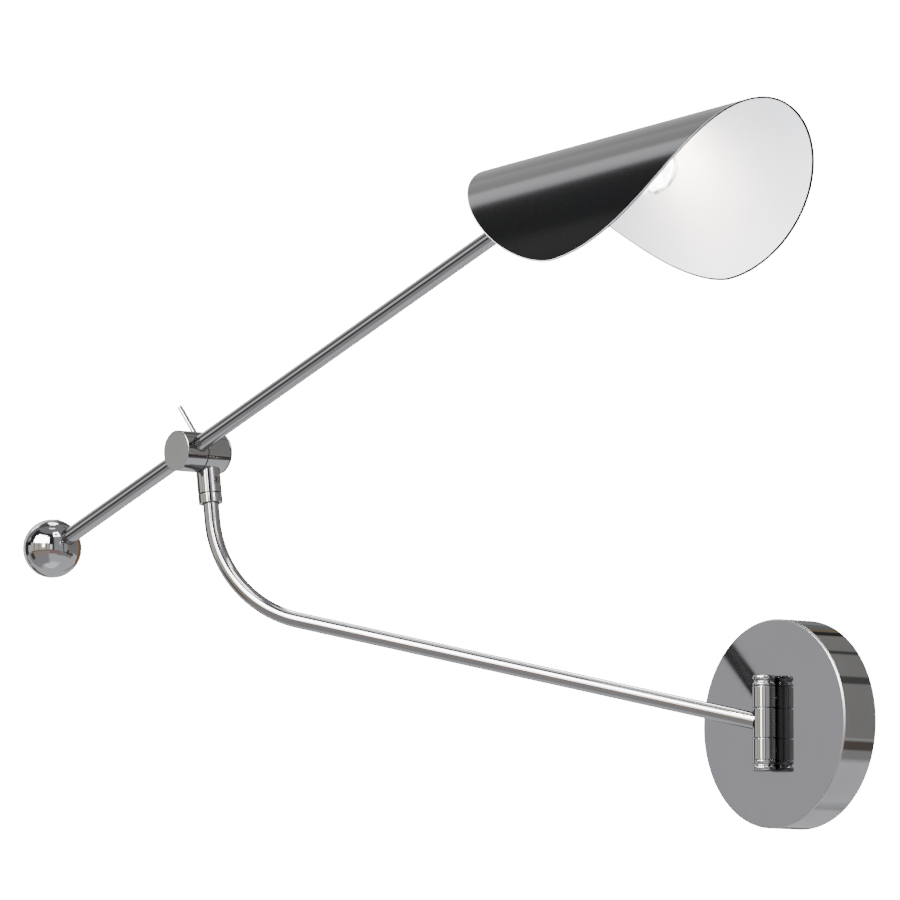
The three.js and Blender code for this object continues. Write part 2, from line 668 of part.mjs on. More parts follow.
function headGroup() {
  const head = new THREE.Group();
  head.position.set(HEAD_REACH, 0, 0);
  head.rotation.y = rad(HEAD_DROP);
  place(head, 'head_fork', headFork(), CHROME);
  place(head, 'pivot_screw', pivotScrew(), STEEL);
  place(head, 'pivot_nut', alongY(nut(2.2, 3.9, 6.6, 9.4)), STEEL);
  place(head, 'shade_bracket', shadeBracket(), STEEL);
  place(head, 'socket_nipple', alongX(ring(3.4, 4.9, FORK_BASE + 0.2, CUP_START + 2)), BRASS);
  place(head, 'socket_cup', socketCup(), BLACK_PAINT);
  place(head, 'lamp_socket', lampSocket(), CERAMIC);
  place(head, 'socket_shell', alongX(ring(5.9, 6.2, 24, 40)), BRASS);
  place(head, 'socket_contact', alongX(disc(2, 18.3, 21, 12)), BRASS);
  place(head, 'bulb_base', bulbBase(), BRASS);
  place(head, 'bulb_glass', bulbGlass(), GLASS);
  place(head, 'bulb_filaments', filaments(), GLOW);
  place(head, 'shade', shade(), BLACK_PAINT);
  const underPad = RIDGE_MID.z - SHEET - GAP - 1.5 - GAP;
  STUD_XS.forEach((x, count) => {
    const hexagon = nut(1.8, 3.3, underPad - 2.2, underPad).translate(x, 0, 0);
    place(head, `shade_nut_${count + 1}`, hexagon, STEEL);
  });
  return head;
}

const sconce = new THREE.Group();
sconce.add(wallGroup(), hingeGroup());
const { arm, stem } = armGroup();
sconce.add(arm);
const tee = teeGroup(stem);
sconce.add(tee);
const boom = boomGroup();
tee.add(boom);
boom.add(headGroup());

export default sconce;
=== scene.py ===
"""Swing arm wall sconce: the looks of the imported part.

Smooth, detailed pieces stand for the faceted CAD nodes, in the same frame: metres, +Z up, the wall on
y = 0 and the lamp towards -Y. Lengths are in metres, written as millimetres times MM, and angles are in
degrees unless a line says otherwise.
"""

import json
import math

import bmesh
import bpy
from mathutils import Matrix, Vector


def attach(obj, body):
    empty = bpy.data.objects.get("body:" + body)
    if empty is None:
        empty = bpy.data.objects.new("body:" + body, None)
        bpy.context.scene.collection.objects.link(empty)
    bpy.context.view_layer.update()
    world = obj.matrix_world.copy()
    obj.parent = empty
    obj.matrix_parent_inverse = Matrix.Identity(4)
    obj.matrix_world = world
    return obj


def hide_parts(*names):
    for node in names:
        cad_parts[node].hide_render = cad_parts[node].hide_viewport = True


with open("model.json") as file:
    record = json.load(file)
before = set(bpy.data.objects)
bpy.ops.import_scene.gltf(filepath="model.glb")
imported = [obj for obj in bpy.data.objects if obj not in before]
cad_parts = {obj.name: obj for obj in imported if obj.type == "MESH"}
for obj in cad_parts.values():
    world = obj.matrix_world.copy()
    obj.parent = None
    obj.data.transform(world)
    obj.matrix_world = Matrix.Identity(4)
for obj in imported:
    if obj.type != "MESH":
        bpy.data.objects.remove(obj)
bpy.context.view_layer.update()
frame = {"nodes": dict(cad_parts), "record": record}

MM = 0.001
GAP = 0.3 * MM
WELD = 1e-7

# ---- Details of the turned pieces: a groove along each seam, and lightly rounded edges ----

GROOVE = 0.25 * MM
GROOVE_DEPTH = 1.0 * MM
FINE_EDGE = 0.12 * MM
SMALL_EDGE = 0.1 * MM

# ---- Driving dimensions, the same as the CAD model's ----

PLATE_RADIUS = 60.325 * MM
PLATE_DEPTH = 24.5 * MM
PLATE_WALL = 1.6 * MM
PLATE_FACE = 2.2 * MM
PLATE_CHAMFER = 0.8 * MM
SIDE_SCREW_Y = -9 * MM
SIDE_SCREW_HOLE = 2.1 * MM
SIDE_SCREW_RADIUS = 1.8 * MM
SIDE_SCREW_START = 51.5 * MM
SIDE_SCREW_END = 60 * MM

BRACKET_WIDTH = 22 * MM
BRACKET_SHEET = 2 * MM
BRACKET_REACH = 55 * MM
BRACKET_TAB = 16 * MM
SLOT_WIDTH = 4.8 * MM
SLOT_LENGTH = 12 * MM
SLOT_HEIGHT = 35 * MM
EARTH_PLACE = (6.5 * MM, 0, -22 * MM)
EARTH_HEAD_TOP = 4.4 * MM
TERMINAL_HEIGHTS = [-8 * MM, 0, 8 * MM]
TERMINAL_TOP = 12.5 * MM
LEAD_RADIUS = 1.1 * MM
LEAD_ROUTE = [(-6.5, -14), (-6, -19), (-8.5, -23.5), (-12.5, -22.5), (-13.8, -18), (-16, -15)]

HINGE_OUT = 6.9 * MM
KNUCKLE_RADIUS = 6.7 * MM
KNUCKLE_BOTTOM = 8.85 * MM
MIDDLE_HALF = 8.55 * MM
WASHER_SEAT = 9.75 * MM
WASHER_SEAT_RADIUS = 5.6 * MM
KNUCKLE_TOP = 21.2 * MM
FINIAL_TOP = 27.5 * MM
PIN_RADIUS = 4 * MM
STUD_RADIUS = 2.5 * MM
STUD_HEIGHT = 15 * MM

TUBE_RADIUS = 4.7625 * MM
TUBE_BORE = 3.5 * MM
TUBE_FIT = 0.15 * MM
TUBE_START = 5.4 * MM
TUBE_IN_COLLAR = 2.6 * MM

ARM_SWING = 54.54
ARM_RISE = 13.06
ARM_STRAIGHT = 285.2 * MM
BEND_RADIUS = 70.2 * MM
BEND_TURN = 70.14
STEM_RUN = 41 * MM

SLEEVE_RADIUS = 7.1 * MM
SLEEVE_BOTTOM = -24.7 * MM
COLLAR_BOTTOM = -30.6 * MM
SPIGOT_RADIUS = 4.8 * MM
SET_SCREW_HEIGHTS = [-17.7 * MM, -22 * MM]
SET_SCREW_RADIUS = 1.5 * MM
SET_SCREW_HOLE = 1.8 * MM

BARREL_RADIUS = 12 * MM
BARREL_FRONT = -22.55 * MM
BARREL_REAR = 10.2 * MM
SEAM = -7.25 * MM
HUB_RADIUS = 5 * MM
HUB_END = 5.5 * MM
HUB_BORE = 2.4 * MM
DISC_RECESS = 10 * MM
REAR_RECESS = 10.2 * MM
CAP_THICKNESS = 1.3 * MM
CAP_RIM = (7.9 * MM, 9.9 * MM)

LEVER_RADIUS = 1.5 * MM
LEVER_LENGTH = 38.9 * MM
LEVER_ANGLE = 122.8
LEVER_TRAVEL = 55

ROD_OUT = 12.76 * MM
ROD_RISE = 11.55
BALL_RADIUS = 17.65 * MM
BALL_REACH = 142.05 * MM
BALL_SCREW_X = 9 * MM
HEAD_REACH = 353.5 * MM
HEAD_DROP = 15.78

EYE_HALF = 2.6 * MM
EAR_RADIUS = 6 * MM
PIVOT_HOLE = 2.2 * MM
FORK_BASE = 7.3 * MM
WEB_START = 10.6 * MM
BRACKET_PAD = 1.5 * MM
CUP_START = 12.7 * MM
CUP_END = 44 * MM
CUP_RADIUS = 12 * MM
CUP_WALL = 1 * MM
SOCKET_RADIUS = 8.6 * MM
SOCKET_FRONT = 41 * MM
BULB_NECK = 41.8 * MM
BULB_NECK_RADIUS = 5.9 * MM
BULB_BLEND = 62 * MM
BULB_CENTRE = 75.6 * MM
BULB_RADIUS = 16.3 * MM
BULB_GLASS = 0.8 * MM

SHEET = 1 * MM
RIDGE_MID = Vector((65.1 * MM, 0, 20.1 * MM))
STUD_XS = [21 * MM, 33 * MM]
BLANK_FRONT = 110.9 * MM
BLANK_REAR = 114 * MM
BLANK_SIDE = 109.6 * MM
FRONT_POWER = 1.9
REAR_POWER = 1.61
FOLD_RADIUS = 50.6 * MM
FOLD_SLOPE = math.radians(91.2)
# The next two set the marks along the shade's edge: where the painted highlight, a light grey band on the
# outside, begins, and how far the painted shade, a black band on the inside, reaches.
HIGHLIGHT_BAND_REACH = 0.6 * MM
PAINTED_EDGE_SHADE = 1.1 * MM
NUT_THICKNESS = 2.2 * MM

# ---- Where each group stands ----


def turn(axis, degrees):
    return Matrix.Rotation(math.radians(degrees), 4, axis)


def shift(x, y, z):
    return Matrix.Translation((x, y, z))


ALONG_X = turn("Y", 90)
ALONG_Y = turn("X", -90)


def arm_point(run):
    """The arm's centreline in its own frame: straight, then a bend, then straight again."""
    bend = BEND_RADIUS * math.radians(BEND_TURN)
    angle = min(max((run - ARM_STRAIGHT) / bend, 0), 1) * math.radians(BEND_TURN)
    straight = min(run, ARM_STRAIGHT)
    beyond = max(run - ARM_STRAIGHT - bend, 0)
    x = straight + BEND_RADIUS * math.sin(angle) + beyond * math.cos(angle)
    z = BEND_RADIUS * (1 - math.cos(angle)) + beyond * math.sin(angle)
    return Vector((x, 0, z))


def arm_twist():
    """The turn about the tube that makes the stem lean along the wall and not away from it."""
    swing, rise, bend = (math.radians(angle) for angle in (ARM_SWING, ARM_RISE, BEND_TURN))
    up = math.cos(swing) * math.sin(rise)
    side = math.sin(swing)
    wanted = math.cos(bend) * math.cos(swing) * math.cos(rise) / math.sin(bend)
    return math.degrees(math.asin(wanted / math.hypot(up, side)) - math.atan2(up, side))


def mirrored(side):
    """Nothing for side 1, and upside down for side -1."""
    return Matrix.Scale(side, 4, (0, 0, 1))


ARM_LENGTH = ARM_STRAIGHT + BEND_RADIUS * math.radians(BEND_TURN) + STEM_RUN

HINGE = shift(0, -PLATE_DEPTH - HINGE_OUT, 0)
ARM = HINGE @ turn("Z", -90 - ARM_SWING)
TUBE = ARM @ turn("Y", -ARM_RISE) @ turn("X", arm_twist())
STEM = TUBE @ Matrix.Translation(arm_point(ARM_LENGTH)) @ turn("Y", 90 - BEND_TURN)
STEM_UP = STEM.to_3x3() @ Vector((0, 0, 1))
TEE = Matrix.Translation(STEM.to_translation()) @ turn("Y", math.degrees(math.atan2(STEM_UP.x, STEM_UP.z)))
BOOM = TEE @ shift(0, -ROD_OUT, 0) @ turn("Y", -ROD_RISE)
BALL = BOOM @ shift(-BALL_REACH, 0, 0)
HEAD = BOOM @ shift(HEAD_REACH, 0, 0) @ turn("Y", HEAD_DROP)

# ---- Shapes: each is a pair of lists, vertices and faces ----


def rounded(corners, steps=4):
    """An outline from corners (x, y, rounding), each rounding as an arc-like curve."""
    points = []
    for index, (x, y, size) in enumerate(corners):
        here = Vector((x, y))
        if size == 0:
            points.append(here)
            continue
        before = (Vector(corners[index - 1][:2]) - here).normalized()
        after = (Vector(corners[(index + 1) % len(corners)][:2]) - here).normalized()
        for step in range(steps + 1):
            t = step / steps
            points.append(here + before * size * (1 - t) ** 2 + after * size * t**2)
    return points


def lathe(outline, segments=96):
    """A solid turned about Z. The outline ends on the axis, or closes on itself."""
    closed = outline[0][0] > 0
    vertices = []
    rows = []
    for radius, height in outline:
        if radius == 0:
            rows.append([len(vertices)] * segments)
            vertices.append(Vector((0, 0, height)))
            continue
        rows.append(list(range(len(vertices), len(vertices) + segments)))
        for count in range(segments):
            angle = 2 * math.pi * count / segments
            vertices.append(Vector((radius * math.cos(angle), radius * math.sin(angle), height)))
    faces = []
    for low, high in zip(rows, rows[1:] + (rows[:1] if closed else [])):
        for count in range(segments):
            following = (count + 1) % segments
            corners = [low[count], low[following], high[following], high[count]]
            face = list(dict.fromkeys(corners))
            if len(face) > 2:
                faces.append(face)
    return vertices, faces


def turned(corners, segments=96):
    """A solid turned about Z from corners (radius, height, rounding)."""
    return lathe(rounded(corners), segments)


def disc(radius, start, end, edge=0.0, segments=96):
    """A round bar or plate about Z, its edges rounded by edge."""
    corners = [(0, start, 0), (radius, start, edge), (radius, end, edge), (0, end, 0)]
    return turned(corners, segments)


def ring(inner, outer, start, end, edge=0.0, segments=96):
    """A round tube or washer about Z."""
    corners = [(inner, start, edge), (outer, start, edge), (outer, end, edge), (inner, end, edge)]
    return turned(corners, segments)


def block(x, y, z):
    """A box between two values along each axis."""
    vertices = [Vector((x[i & 1], y[i >> 1 & 1], z[i >> 2])) for i in range(8)]
    faces = [[0, 2, 3, 1], [4, 5, 7, 6], [0, 1, 5, 4], [2, 6, 7, 3], [0, 4, 6, 2], [1, 3, 7, 5]]
    return vertices, faces


def prism(sides, corner, start, end):
    """A bar with flat sides about Z; corner is the distance from the axis to a corner."""
    return lathe([(0, start), (corner, start), (corner, end), (0, end)], sides)


def quads(low, high, size):
    """Faces between two closed rows of points, which start at low and at high."""
    following = [(i + 1) % size for i in range(size)]
    return [[low + i, low + j, high + j, high + i] for i, j in enumerate(following)]


def sweep(path, outer, inner=0.0, sides=48):
    """A tube along a path of points, or a solid round bar where inner is 0."""
    vertices = []
    rows = []
    side_way = Vector((0, 1, 0))
    for index, point in enumerate(path):
        ahead = (path[min(index + 1, len(path) - 1)] - path[max(index - 1, 0)]).normalized()
        side_way = (side_way - ahead * side_way.dot(ahead)).normalized()
        up = ahead.cross(side_way)
        for radius in [outer, inner] if inner else [outer]:
            for count in range(sides):
                angle = 2 * math.pi * count / sides
                vertices.append(point + (side_way * math.cos(angle) + up * math.sin(angle)) * radius)
        rows.append(len(vertices) - sides * (2 if inner else 1))
    faces = []
    for low, high in zip(rows, rows[1:]):
        faces += quads(low, high, sides)
        if inner:
            faces += quads(high + sides, low + sides, sides)
    for row in (rows[0], rows[-1]):
        faces += quads(row, row + sides, sides) if inner else [list(range(row, row + sides))]
    return vertices, faces


def smooth(points, steps):
    """A Catmull-Rom curve through points (y, z) of the plane x = 0, in millimetres."""
    fixed = [Vector((0, *point)) * MM for point in points]
    fixed = [2 * fixed[0] - fixed[1], *fixed, 2 * fixed[-1] - fixed[-2]]
    path = []
    for a, b, c, d in zip(fixed, fixed[1:], fixed[2:], fixed[3:]):
        for step in range(steps):
            t = step / steps
            path.append((2 * b + (c - a) * t + (2 * a - 5 * b + 4 * c - d) * t**2
                         + (3 * b - a - 3 * c + d) * t**3) / 2)
    path.append(fixed[-2])
    return path


def placed(shape, matrix):
    return [matrix @ vertex for vertex in shape[0]], shape[1]


def together(*shapes):
    """Several shapes as one, not joined where they touch."""
    vertices = []
    faces = []
    for own_vertices, own_faces in shapes:
        start = len(vertices)
        vertices += own_vertices
        faces += [[start + index for index in face] for face in own_faces]
    return vertices, faces


def disc_x(*sizes):
    return placed(disc(*sizes), ALONG_X)


def disc_y(*sizes):
    return placed(disc(*sizes), ALONG_Y)


def object_of(name, data):
    """A new object, linked to the scene."""
    made = bpy.data.objects.new(name, data)
    bpy.context.scene.collection.objects.link(made)
    return made


def mesh_of(name, shape):
    """A mesh from a shape, its faces looking outwards."""
    mesh = bpy.data.meshes.new(name)
    mesh.from_pydata([tuple(vertex) for vertex in shape[0]], [], shape[1])
    work = bmesh.new()
    work.from_mesh(mesh)
    bmesh.ops.remove_doubles(work, verts=work.verts, dist=WELD)
    bmesh.ops.recalc_face_normals(work, faces=work.faces)
    work.to_mesh(mesh)
    work.free()
    return mesh


def combined(operation, shape, tools):
    """One boolean after another, done by Blender's exact solver."""
    body = object_of("body", mesh_of("body", shape))
    helpers = []
    for tool in tools:
        helper = object_of("tool", mesh_of("tool", tool))
        modifier = body.modifiers.new("boolean", "BOOLEAN")
        modifier.operation = operation
        modifier.solver = "EXACT"
        modifier.object = helper
        helpers.append(helper)
    evaluated = body.evaluated_get(bpy.context.evaluated_depsgraph_get()).to_mesh()
    vertices = [vertex.co.copy() for vertex in evaluated.vertices]
    faces = [list(polygon.vertices) for polygon in evaluated.polygons]
    for leftover in [body, *helpers]:
        bpy.data.objects.remove(leftover)
    return vertices, faces


def nut(bore, corner, start, end):
    """A hexagon nut about Z."""
    return cut(prism(6, corner, start, end), disc(bore, start - 1 * MM, end + 1 * MM, 0, 48))


def grub_screw(radius, start, end):
    """A headless screw with a hexagon socket in its upper end."""
    body = disc(radius, start, end, 0.25 * MM, 48)
    return cut(body, prism(6, radius * 0.55, end - radius, end + 1 * MM))


def slot_cutter(length, width, top, depth):
    """The block that cuts a screwdriver's slot into a screw whose head ends at top."""
    return block((-length, length), (-width / 2, width / 2), (top - depth, top + 1 * MM))


def cut(shape, *tools):
    return combined("DIFFERENCE", shape, tools)


def join(shape, *others):
    return combined("UNION", shape, others)


# ---- Materials ----


class Look:
    """A Principled material and short ways to add nodes to it."""

    def __init__(self, name, **values):
        self.material = bpy.data.materials.new(name)
        self.material.use_nodes = True
        self.tree = self.material.node_tree
        self.shader = self.tree.nodes["Principled BSDF"]
        for key, value in values.items():
            self.shader.inputs[key.replace("_", " ").title()].default_value = value

    def node(self, kind, **values):
        made = self.tree.nodes.new(kind)
        for key, value in values.items():
            setattr(made, key, value)
        return made

    def link(self, source, target):
        self.tree.links.new(source, target)

    def noise(self, scale, detail=3.0, stretch=(1, 1, 1)):
        place = self.node("ShaderNodeTexCoord")
        mapping = self.node("ShaderNodeMapping")
        mapping.inputs["Scale"].default_value = stretch
        texture = self.node("ShaderNodeTexNoise")
        texture.inputs["Scale"].default_value = scale
        texture.inputs["Detail"].default_value = detail
        self.link(place.outputs["Object"], mapping.inputs["Vector"])
        self.link(mapping.outputs["Vector"], texture.inputs["Vector"])
        return texture.outputs["Fac"]

    def vary(self, source, target, low, high, start=0.3, end=0.7):
        """A socket that goes from low to high as a noise goes from start to end."""
        scaled = self.node("ShaderNodeMapRange")
        for key, value in zip(("From Min", "From Max", "To Min", "To Max"), (start, end, low, high)):
            scaled.inputs[key].default_value = value
        self.link(source, scaled.inputs["Value"])
        self.link(scaled.outputs["Result"], target)

    def tint(self, source, low, high):
        """A base colour that wanders between two colours with a noise."""
        ramp = self.node("ShaderNodeValToRGB")
        ramp.color_ramp.elements[0].position = 0.3
        ramp.color_ramp.elements[1].position = 0.7
        ramp.color_ramp.elements[0].color = (*low, 1)
        ramp.color_ramp.elements[1].color = (*high, 1)
        self.link(source, ramp.inputs["Fac"])
        self.link(ramp.outputs["Color"], self.shader.inputs["Base Color"])

    def bump(self, source, strength, distance):
        bump = self.node("ShaderNodeBump")
        bump.inputs["Strength"].default_value = strength
        bump.inputs["Distance"].default_value = distance
        self.link(source, bump.inputs["Height"])
        self.link(bump.outputs["Normal"], self.shader.inputs["Normal"])


def chrome(name, low, high, smooth, dull):
    """Polished plating: nearly a mirror, with faint clouding and the finest polishing marks."""
    look = Look(name, metallic=1.0)
    look.tint(look.noise(35), low, high)
    look.vary(look.noise(60, 4), look.shader.inputs["Roughness"], smooth, dull)
    look.bump(look.noise(1400, 2), 0.02, 0.00002)
    return look.material


def metal(name, low, high, smooth, dull):
    """Bare metal: uneven tone and gloss over a fine grain."""
    look = Look(name, metallic=1.0)
    look.tint(look.noise(120, 4), low, high)
    look.vary(look.noise(500, 4), look.shader.inputs["Roughness"], smooth, dull)
    look.bump(look.noise(900, 3), 0.15, 0.00005)
    return look.material


def plain(name, low, high, smooth, dull, scale, relief):
    """Paint, plastic, rubber and ceramic: slight changes of tone and gloss over a fine texture."""
    look = Look(name)
    look.tint(look.noise(scale / 8), low, high)
    look.vary(look.noise(scale / 4, 4), look.shader.inputs["Roughness"], smooth, dull)
    look.bump(look.noise(scale, 2), relief, 0.0001)
    return look.material


GLASS_HAZE = (0.0, 5.0)


def clear_glass():
    """Thin clear glass of a lit lamp: mirror-like towards its outline, with an uneven haze of light."""
    look = Look("clear_glass", roughness=0.01)
    look.shader.inputs["Base Color"].default_value = (0.4, 0.4, 0.42, 1)
    facing = look.node("ShaderNodeLayerWeight")
    facing.inputs["Blend"].default_value = 0.12
    share = look.node("ShaderNodeMath", operation="MULTIPLY")
    share.inputs[1].default_value = 0.8
    look.link(facing.outputs["Fresnel"], share.inputs[0])
    clear = look.node("ShaderNodeBsdfTransparent")
    clear.inputs["Color"].default_value = (0.97, 0.975, 0.98, 1)
    wander = look.noise(80, 2)
    look.bump(wander, 0.05, 0.0002)
    haze = look.node("ShaderNodeEmission")
    haze.inputs["Color"].default_value = (1.0, 0.97, 0.93, 1)
    look.vary(look.noise(140, 2, (1, 2.5, 1)), haze.inputs["Strength"], *GLASS_HAZE, 0.46, 0.56)
    through = look.node("ShaderNodeAddShader")
    look.link(clear.outputs["BSDF"], through.inputs[0])
    look.link(haze.outputs["Emission"], through.inputs[1])
    blend = look.node("ShaderNodeMixShader")
    look.link(share.outputs["Value"], blend.inputs["Fac"])
    look.link(through.outputs["Shader"], blend.inputs[1])
    look.link(look.shader.outputs["BSDF"], blend.inputs[2])
    look.shader.inputs["Metallic"].default_value = 1.0
    output = look.tree.nodes["Material Output"]
    look.link(blend.outputs["Shader"], output.inputs["Surface"])
    return look.material


def glow():
    """The lit filament."""
    look = Look("lit_filament", roughness=0.6)
    look.tint(look.noise(300), (0.95, 0.75, 0.45), (1.0, 0.85, 0.6))
    look.shader.inputs["Emission Color"].default_value = (1.0, 0.80, 0.66, 1)
    look.shader.inputs["Emission Strength"].default_value = 300.0
    return look.material


CHROME = chrome("chrome_turned", (0.60, 0.60, 0.61), (0.66, 0.66, 0.67), 0.03, 0.06)
# The canopy's face: the same chrome made darker, painted shade that dims what the face mirrors.
CHROME_FACE_PAINTED_SHADE = chrome("chrome_plate", (0.425, 0.42, 0.435), (0.44, 0.435, 0.45), 0.055, 0.065)
CHROME_EDGE = chrome("chrome_edge", (0.60, 0.60, 0.61), (0.66, 0.66, 0.67), 0.28, 0.32)
CHROME_TUBE = chrome("chrome_tube", (0.60, 0.60, 0.61), (0.66, 0.66, 0.67), 0.04, 0.07)
STEEL = metal("plain_steel", (0.42, 0.42, 0.41), (0.55, 0.55, 0.54), 0.25, 0.4)
SPRING = metal("spring_steel", (0.3, 0.3, 0.31), (0.4, 0.4, 0.41), 0.25, 0.35)
GREEN = metal("earth_screw", (0.05, 0.22, 0.08), (0.08, 0.3, 0.12), 0.25, 0.4)
BRASS = metal("brass", (0.62, 0.44, 0.18), (0.75, 0.56, 0.26), 0.2, 0.35)
BLACK = plain("shade_black", (0.0003, 0.0004, 0.0005), (0.0004, 0.0005, 0.0007), 0.13, 0.14, 2400, 0.0005)
WHITE = plain("shade_white", (0.83, 0.83, 0.84), (0.86, 0.86, 0.87), 0.35, 0.45, 2400, 0.01)
# The light grey band on the outside of the shade's edge: a painted highlight.
EDGE_HIGHLIGHT_LOOK = plain("shade_edge_painted_highlight", (0.45, 0.45, 0.45), (0.5, 0.5, 0.5), 0.3, 0.4, 2400, 0.02)
CUP_BLACK = plain("black_metal", (0.012, 0.012, 0.013), (0.02, 0.02, 0.021), 0.3, 0.42, 2400, 0.08)
NYLON = plain("nylon", (0.02, 0.02, 0.022), (0.035, 0.035, 0.037), 0.45, 0.6, 900, 0.1)
JACKET = plain("cable_jacket", (0.018, 0.018, 0.018), (0.03, 0.03, 0.03), 0.5, 0.65, 900, 0.15)
PORCELAIN = plain("porcelain", (0.78, 0.76, 0.71), (0.84, 0.82, 0.78), 0.12, 0.22, 300, 0.05)
GLASS = clear_glass()
FILAMENT = glow()

SLOT_LOOKS = {
    "chrome_plate": CHROME, "chrome_turned": CHROME, "chrome_tube": CHROME_TUBE, "plain_steel": STEEL,
    "spring_steel": SPRING, "earth_screw": GREEN, "brass": BRASS, "black_metal": CUP_BLACK, "nylon": NYLON,
    "cable_jacket": JACKET, "porcelain": PORCELAIN, "bulb_glass": GLASS, "filament": FILAMENT,
}

# ---- Pieces ----


SHARP_ANGLE = 32
SHADE_SHARP_ANGLE = 25


def soften(made, width):
    """Rounds an object's sharp edges."""
    edges = made.modifiers.new("soft_edges", "BEVEL")
    edges.width = width
    edges.segments = 2
    edges.limit_method = "ANGLE"
    edges.angle_limit = math.radians(45)


def piece(name, shape, matrix, body, slot, *nodes, soft=0.0):
    """A visible piece: its shape at its place, riding on a body, and standing for CAD nodes."""
    mesh = mesh_of(name, placed(shape, matrix))
    made = object_of(name, mesh)
    mesh.materials.append(SLOT_LOOKS[slot])
    for polygon in mesh.polygons:
        polygon.use_smooth = True
    mesh.set_sharp_from_angle(angle=math.radians(SHARP_ANGLE))
    if soft:
        soften(made, soft)
    level = made.modifiers.new("flat_faces_stay_flat", "WEIGHTED_NORMAL")
    level.keep_sharp = True
    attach(made, body)
    if nodes:
        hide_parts(*nodes)
    return made


def wall_pieces():
    """The chromed canopy, open at the back: a satin chamfer round a face whose chrome is darker than the
    rim's, painted shade.
    """
    inner = PLATE_RADIUS - PLATE_WALL
    face = PLATE_DEPTH - PLATE_FACE
    shell = lathe(rounded([
        (0, PLATE_DEPTH, 0), (PLATE_RADIUS - PLATE_CHAMFER, PLATE_DEPTH, 0.2 * MM),
        (PLATE_RADIUS, PLATE_DEPTH - PLATE_CHAMFER, 0.2 * MM), (PLATE_RADIUS, 0, 0.3 * MM),
        (inner, 0, 0.3 * MM), (inner, face, 1 * MM), (0, face, 0),
    ], 5), 256)
    shell = placed(shell, turn("X", 90))
    holes = []
    for side in (1, -1):
        stud = disc(STUD_RADIUS + GAP, -30 * MM, -15 * MM, 0, 48)
        holes.append(placed(stud, shift(0, 0, side * STUD_HEIGHT) @ ALONG_Y))
        screw = disc(SIDE_SCREW_HOLE, 50 * MM, 70 * MM, 0, 48)
        holes.append(placed(screw, shift(0, SIDE_SCREW_Y, 0) @ mirrored(side)))
    made = piece("wall_plate_shell", cut(shell, *holes), Matrix(), "wall_plate", "chrome_plate",
                 "backplate")
    made.data.materials.append(CHROME_FACE_PAINTED_SHADE)
    made.data.materials.append(CHROME_EDGE)
    # Of the faces in front of the inside, the flat ones get the second look, the darker chrome of painted
    # shade, and the chamfer the third.
    for polygon in made.data.polygons:
        if polygon.center.y > -face:
            continue
        if polygon.normal.y < -0.99:
            polygon.material_index = 1
        elif polygon.normal.y < -0.2:
            polygon.material_index = 2


def bracket_piece():
    """The strap behind the face: a slot near each end, an earth hole, and a turned-out tab at each end."""
    half = BRACKET_WIDTH / 2
    reach = BRACKET_REACH
    strap = block((-half, half), (-BRACKET_SHEET, 0), (-reach, reach))
    tabs = []
    tools = [placed(disc(2 * MM, -5 * MM, 1 * MM, 0, 32), shift(*EARTH_PLACE) @ ALONG_Y)]
    for side in (1, -1):
        ends = sorted((side * (reach - BRACKET_SHEET), side * reach))
        tabs.append(block((-half, half), (-BRACKET_TAB, 0), ends))
        middle = side * SLOT_HEIGHT
        straight = SLOT_LENGTH / 2 - SLOT_WIDTH / 2
        tools.append(block((-SLOT_WIDTH / 2, SLOT_WIDTH / 2), (-5 * MM, 1 * MM),
                           (middle - straight, middle + straight)))
        for end in (1, -1):
            round_end = disc(SLOT_WIDTH / 2, -5 * MM, 1 * MM, 0, 48)
            tools.append(placed(round_end, shift(0, 0, middle + end * straight) @ ALONG_Y))
        thread = disc(SIDE_SCREW_HOLE, reach - 5 * MM, reach + 5 * MM, 0, 48)
        tools.append(placed(thread, shift(0, SIDE_SCREW_Y, 0) @ mirrored(side)))
    piece("bracket_strap", cut(join(strap, *tabs), *tools), Matrix(), "wall_plate", "plain_steel",
          "mounting_bracket", soft=0.25 * MM)


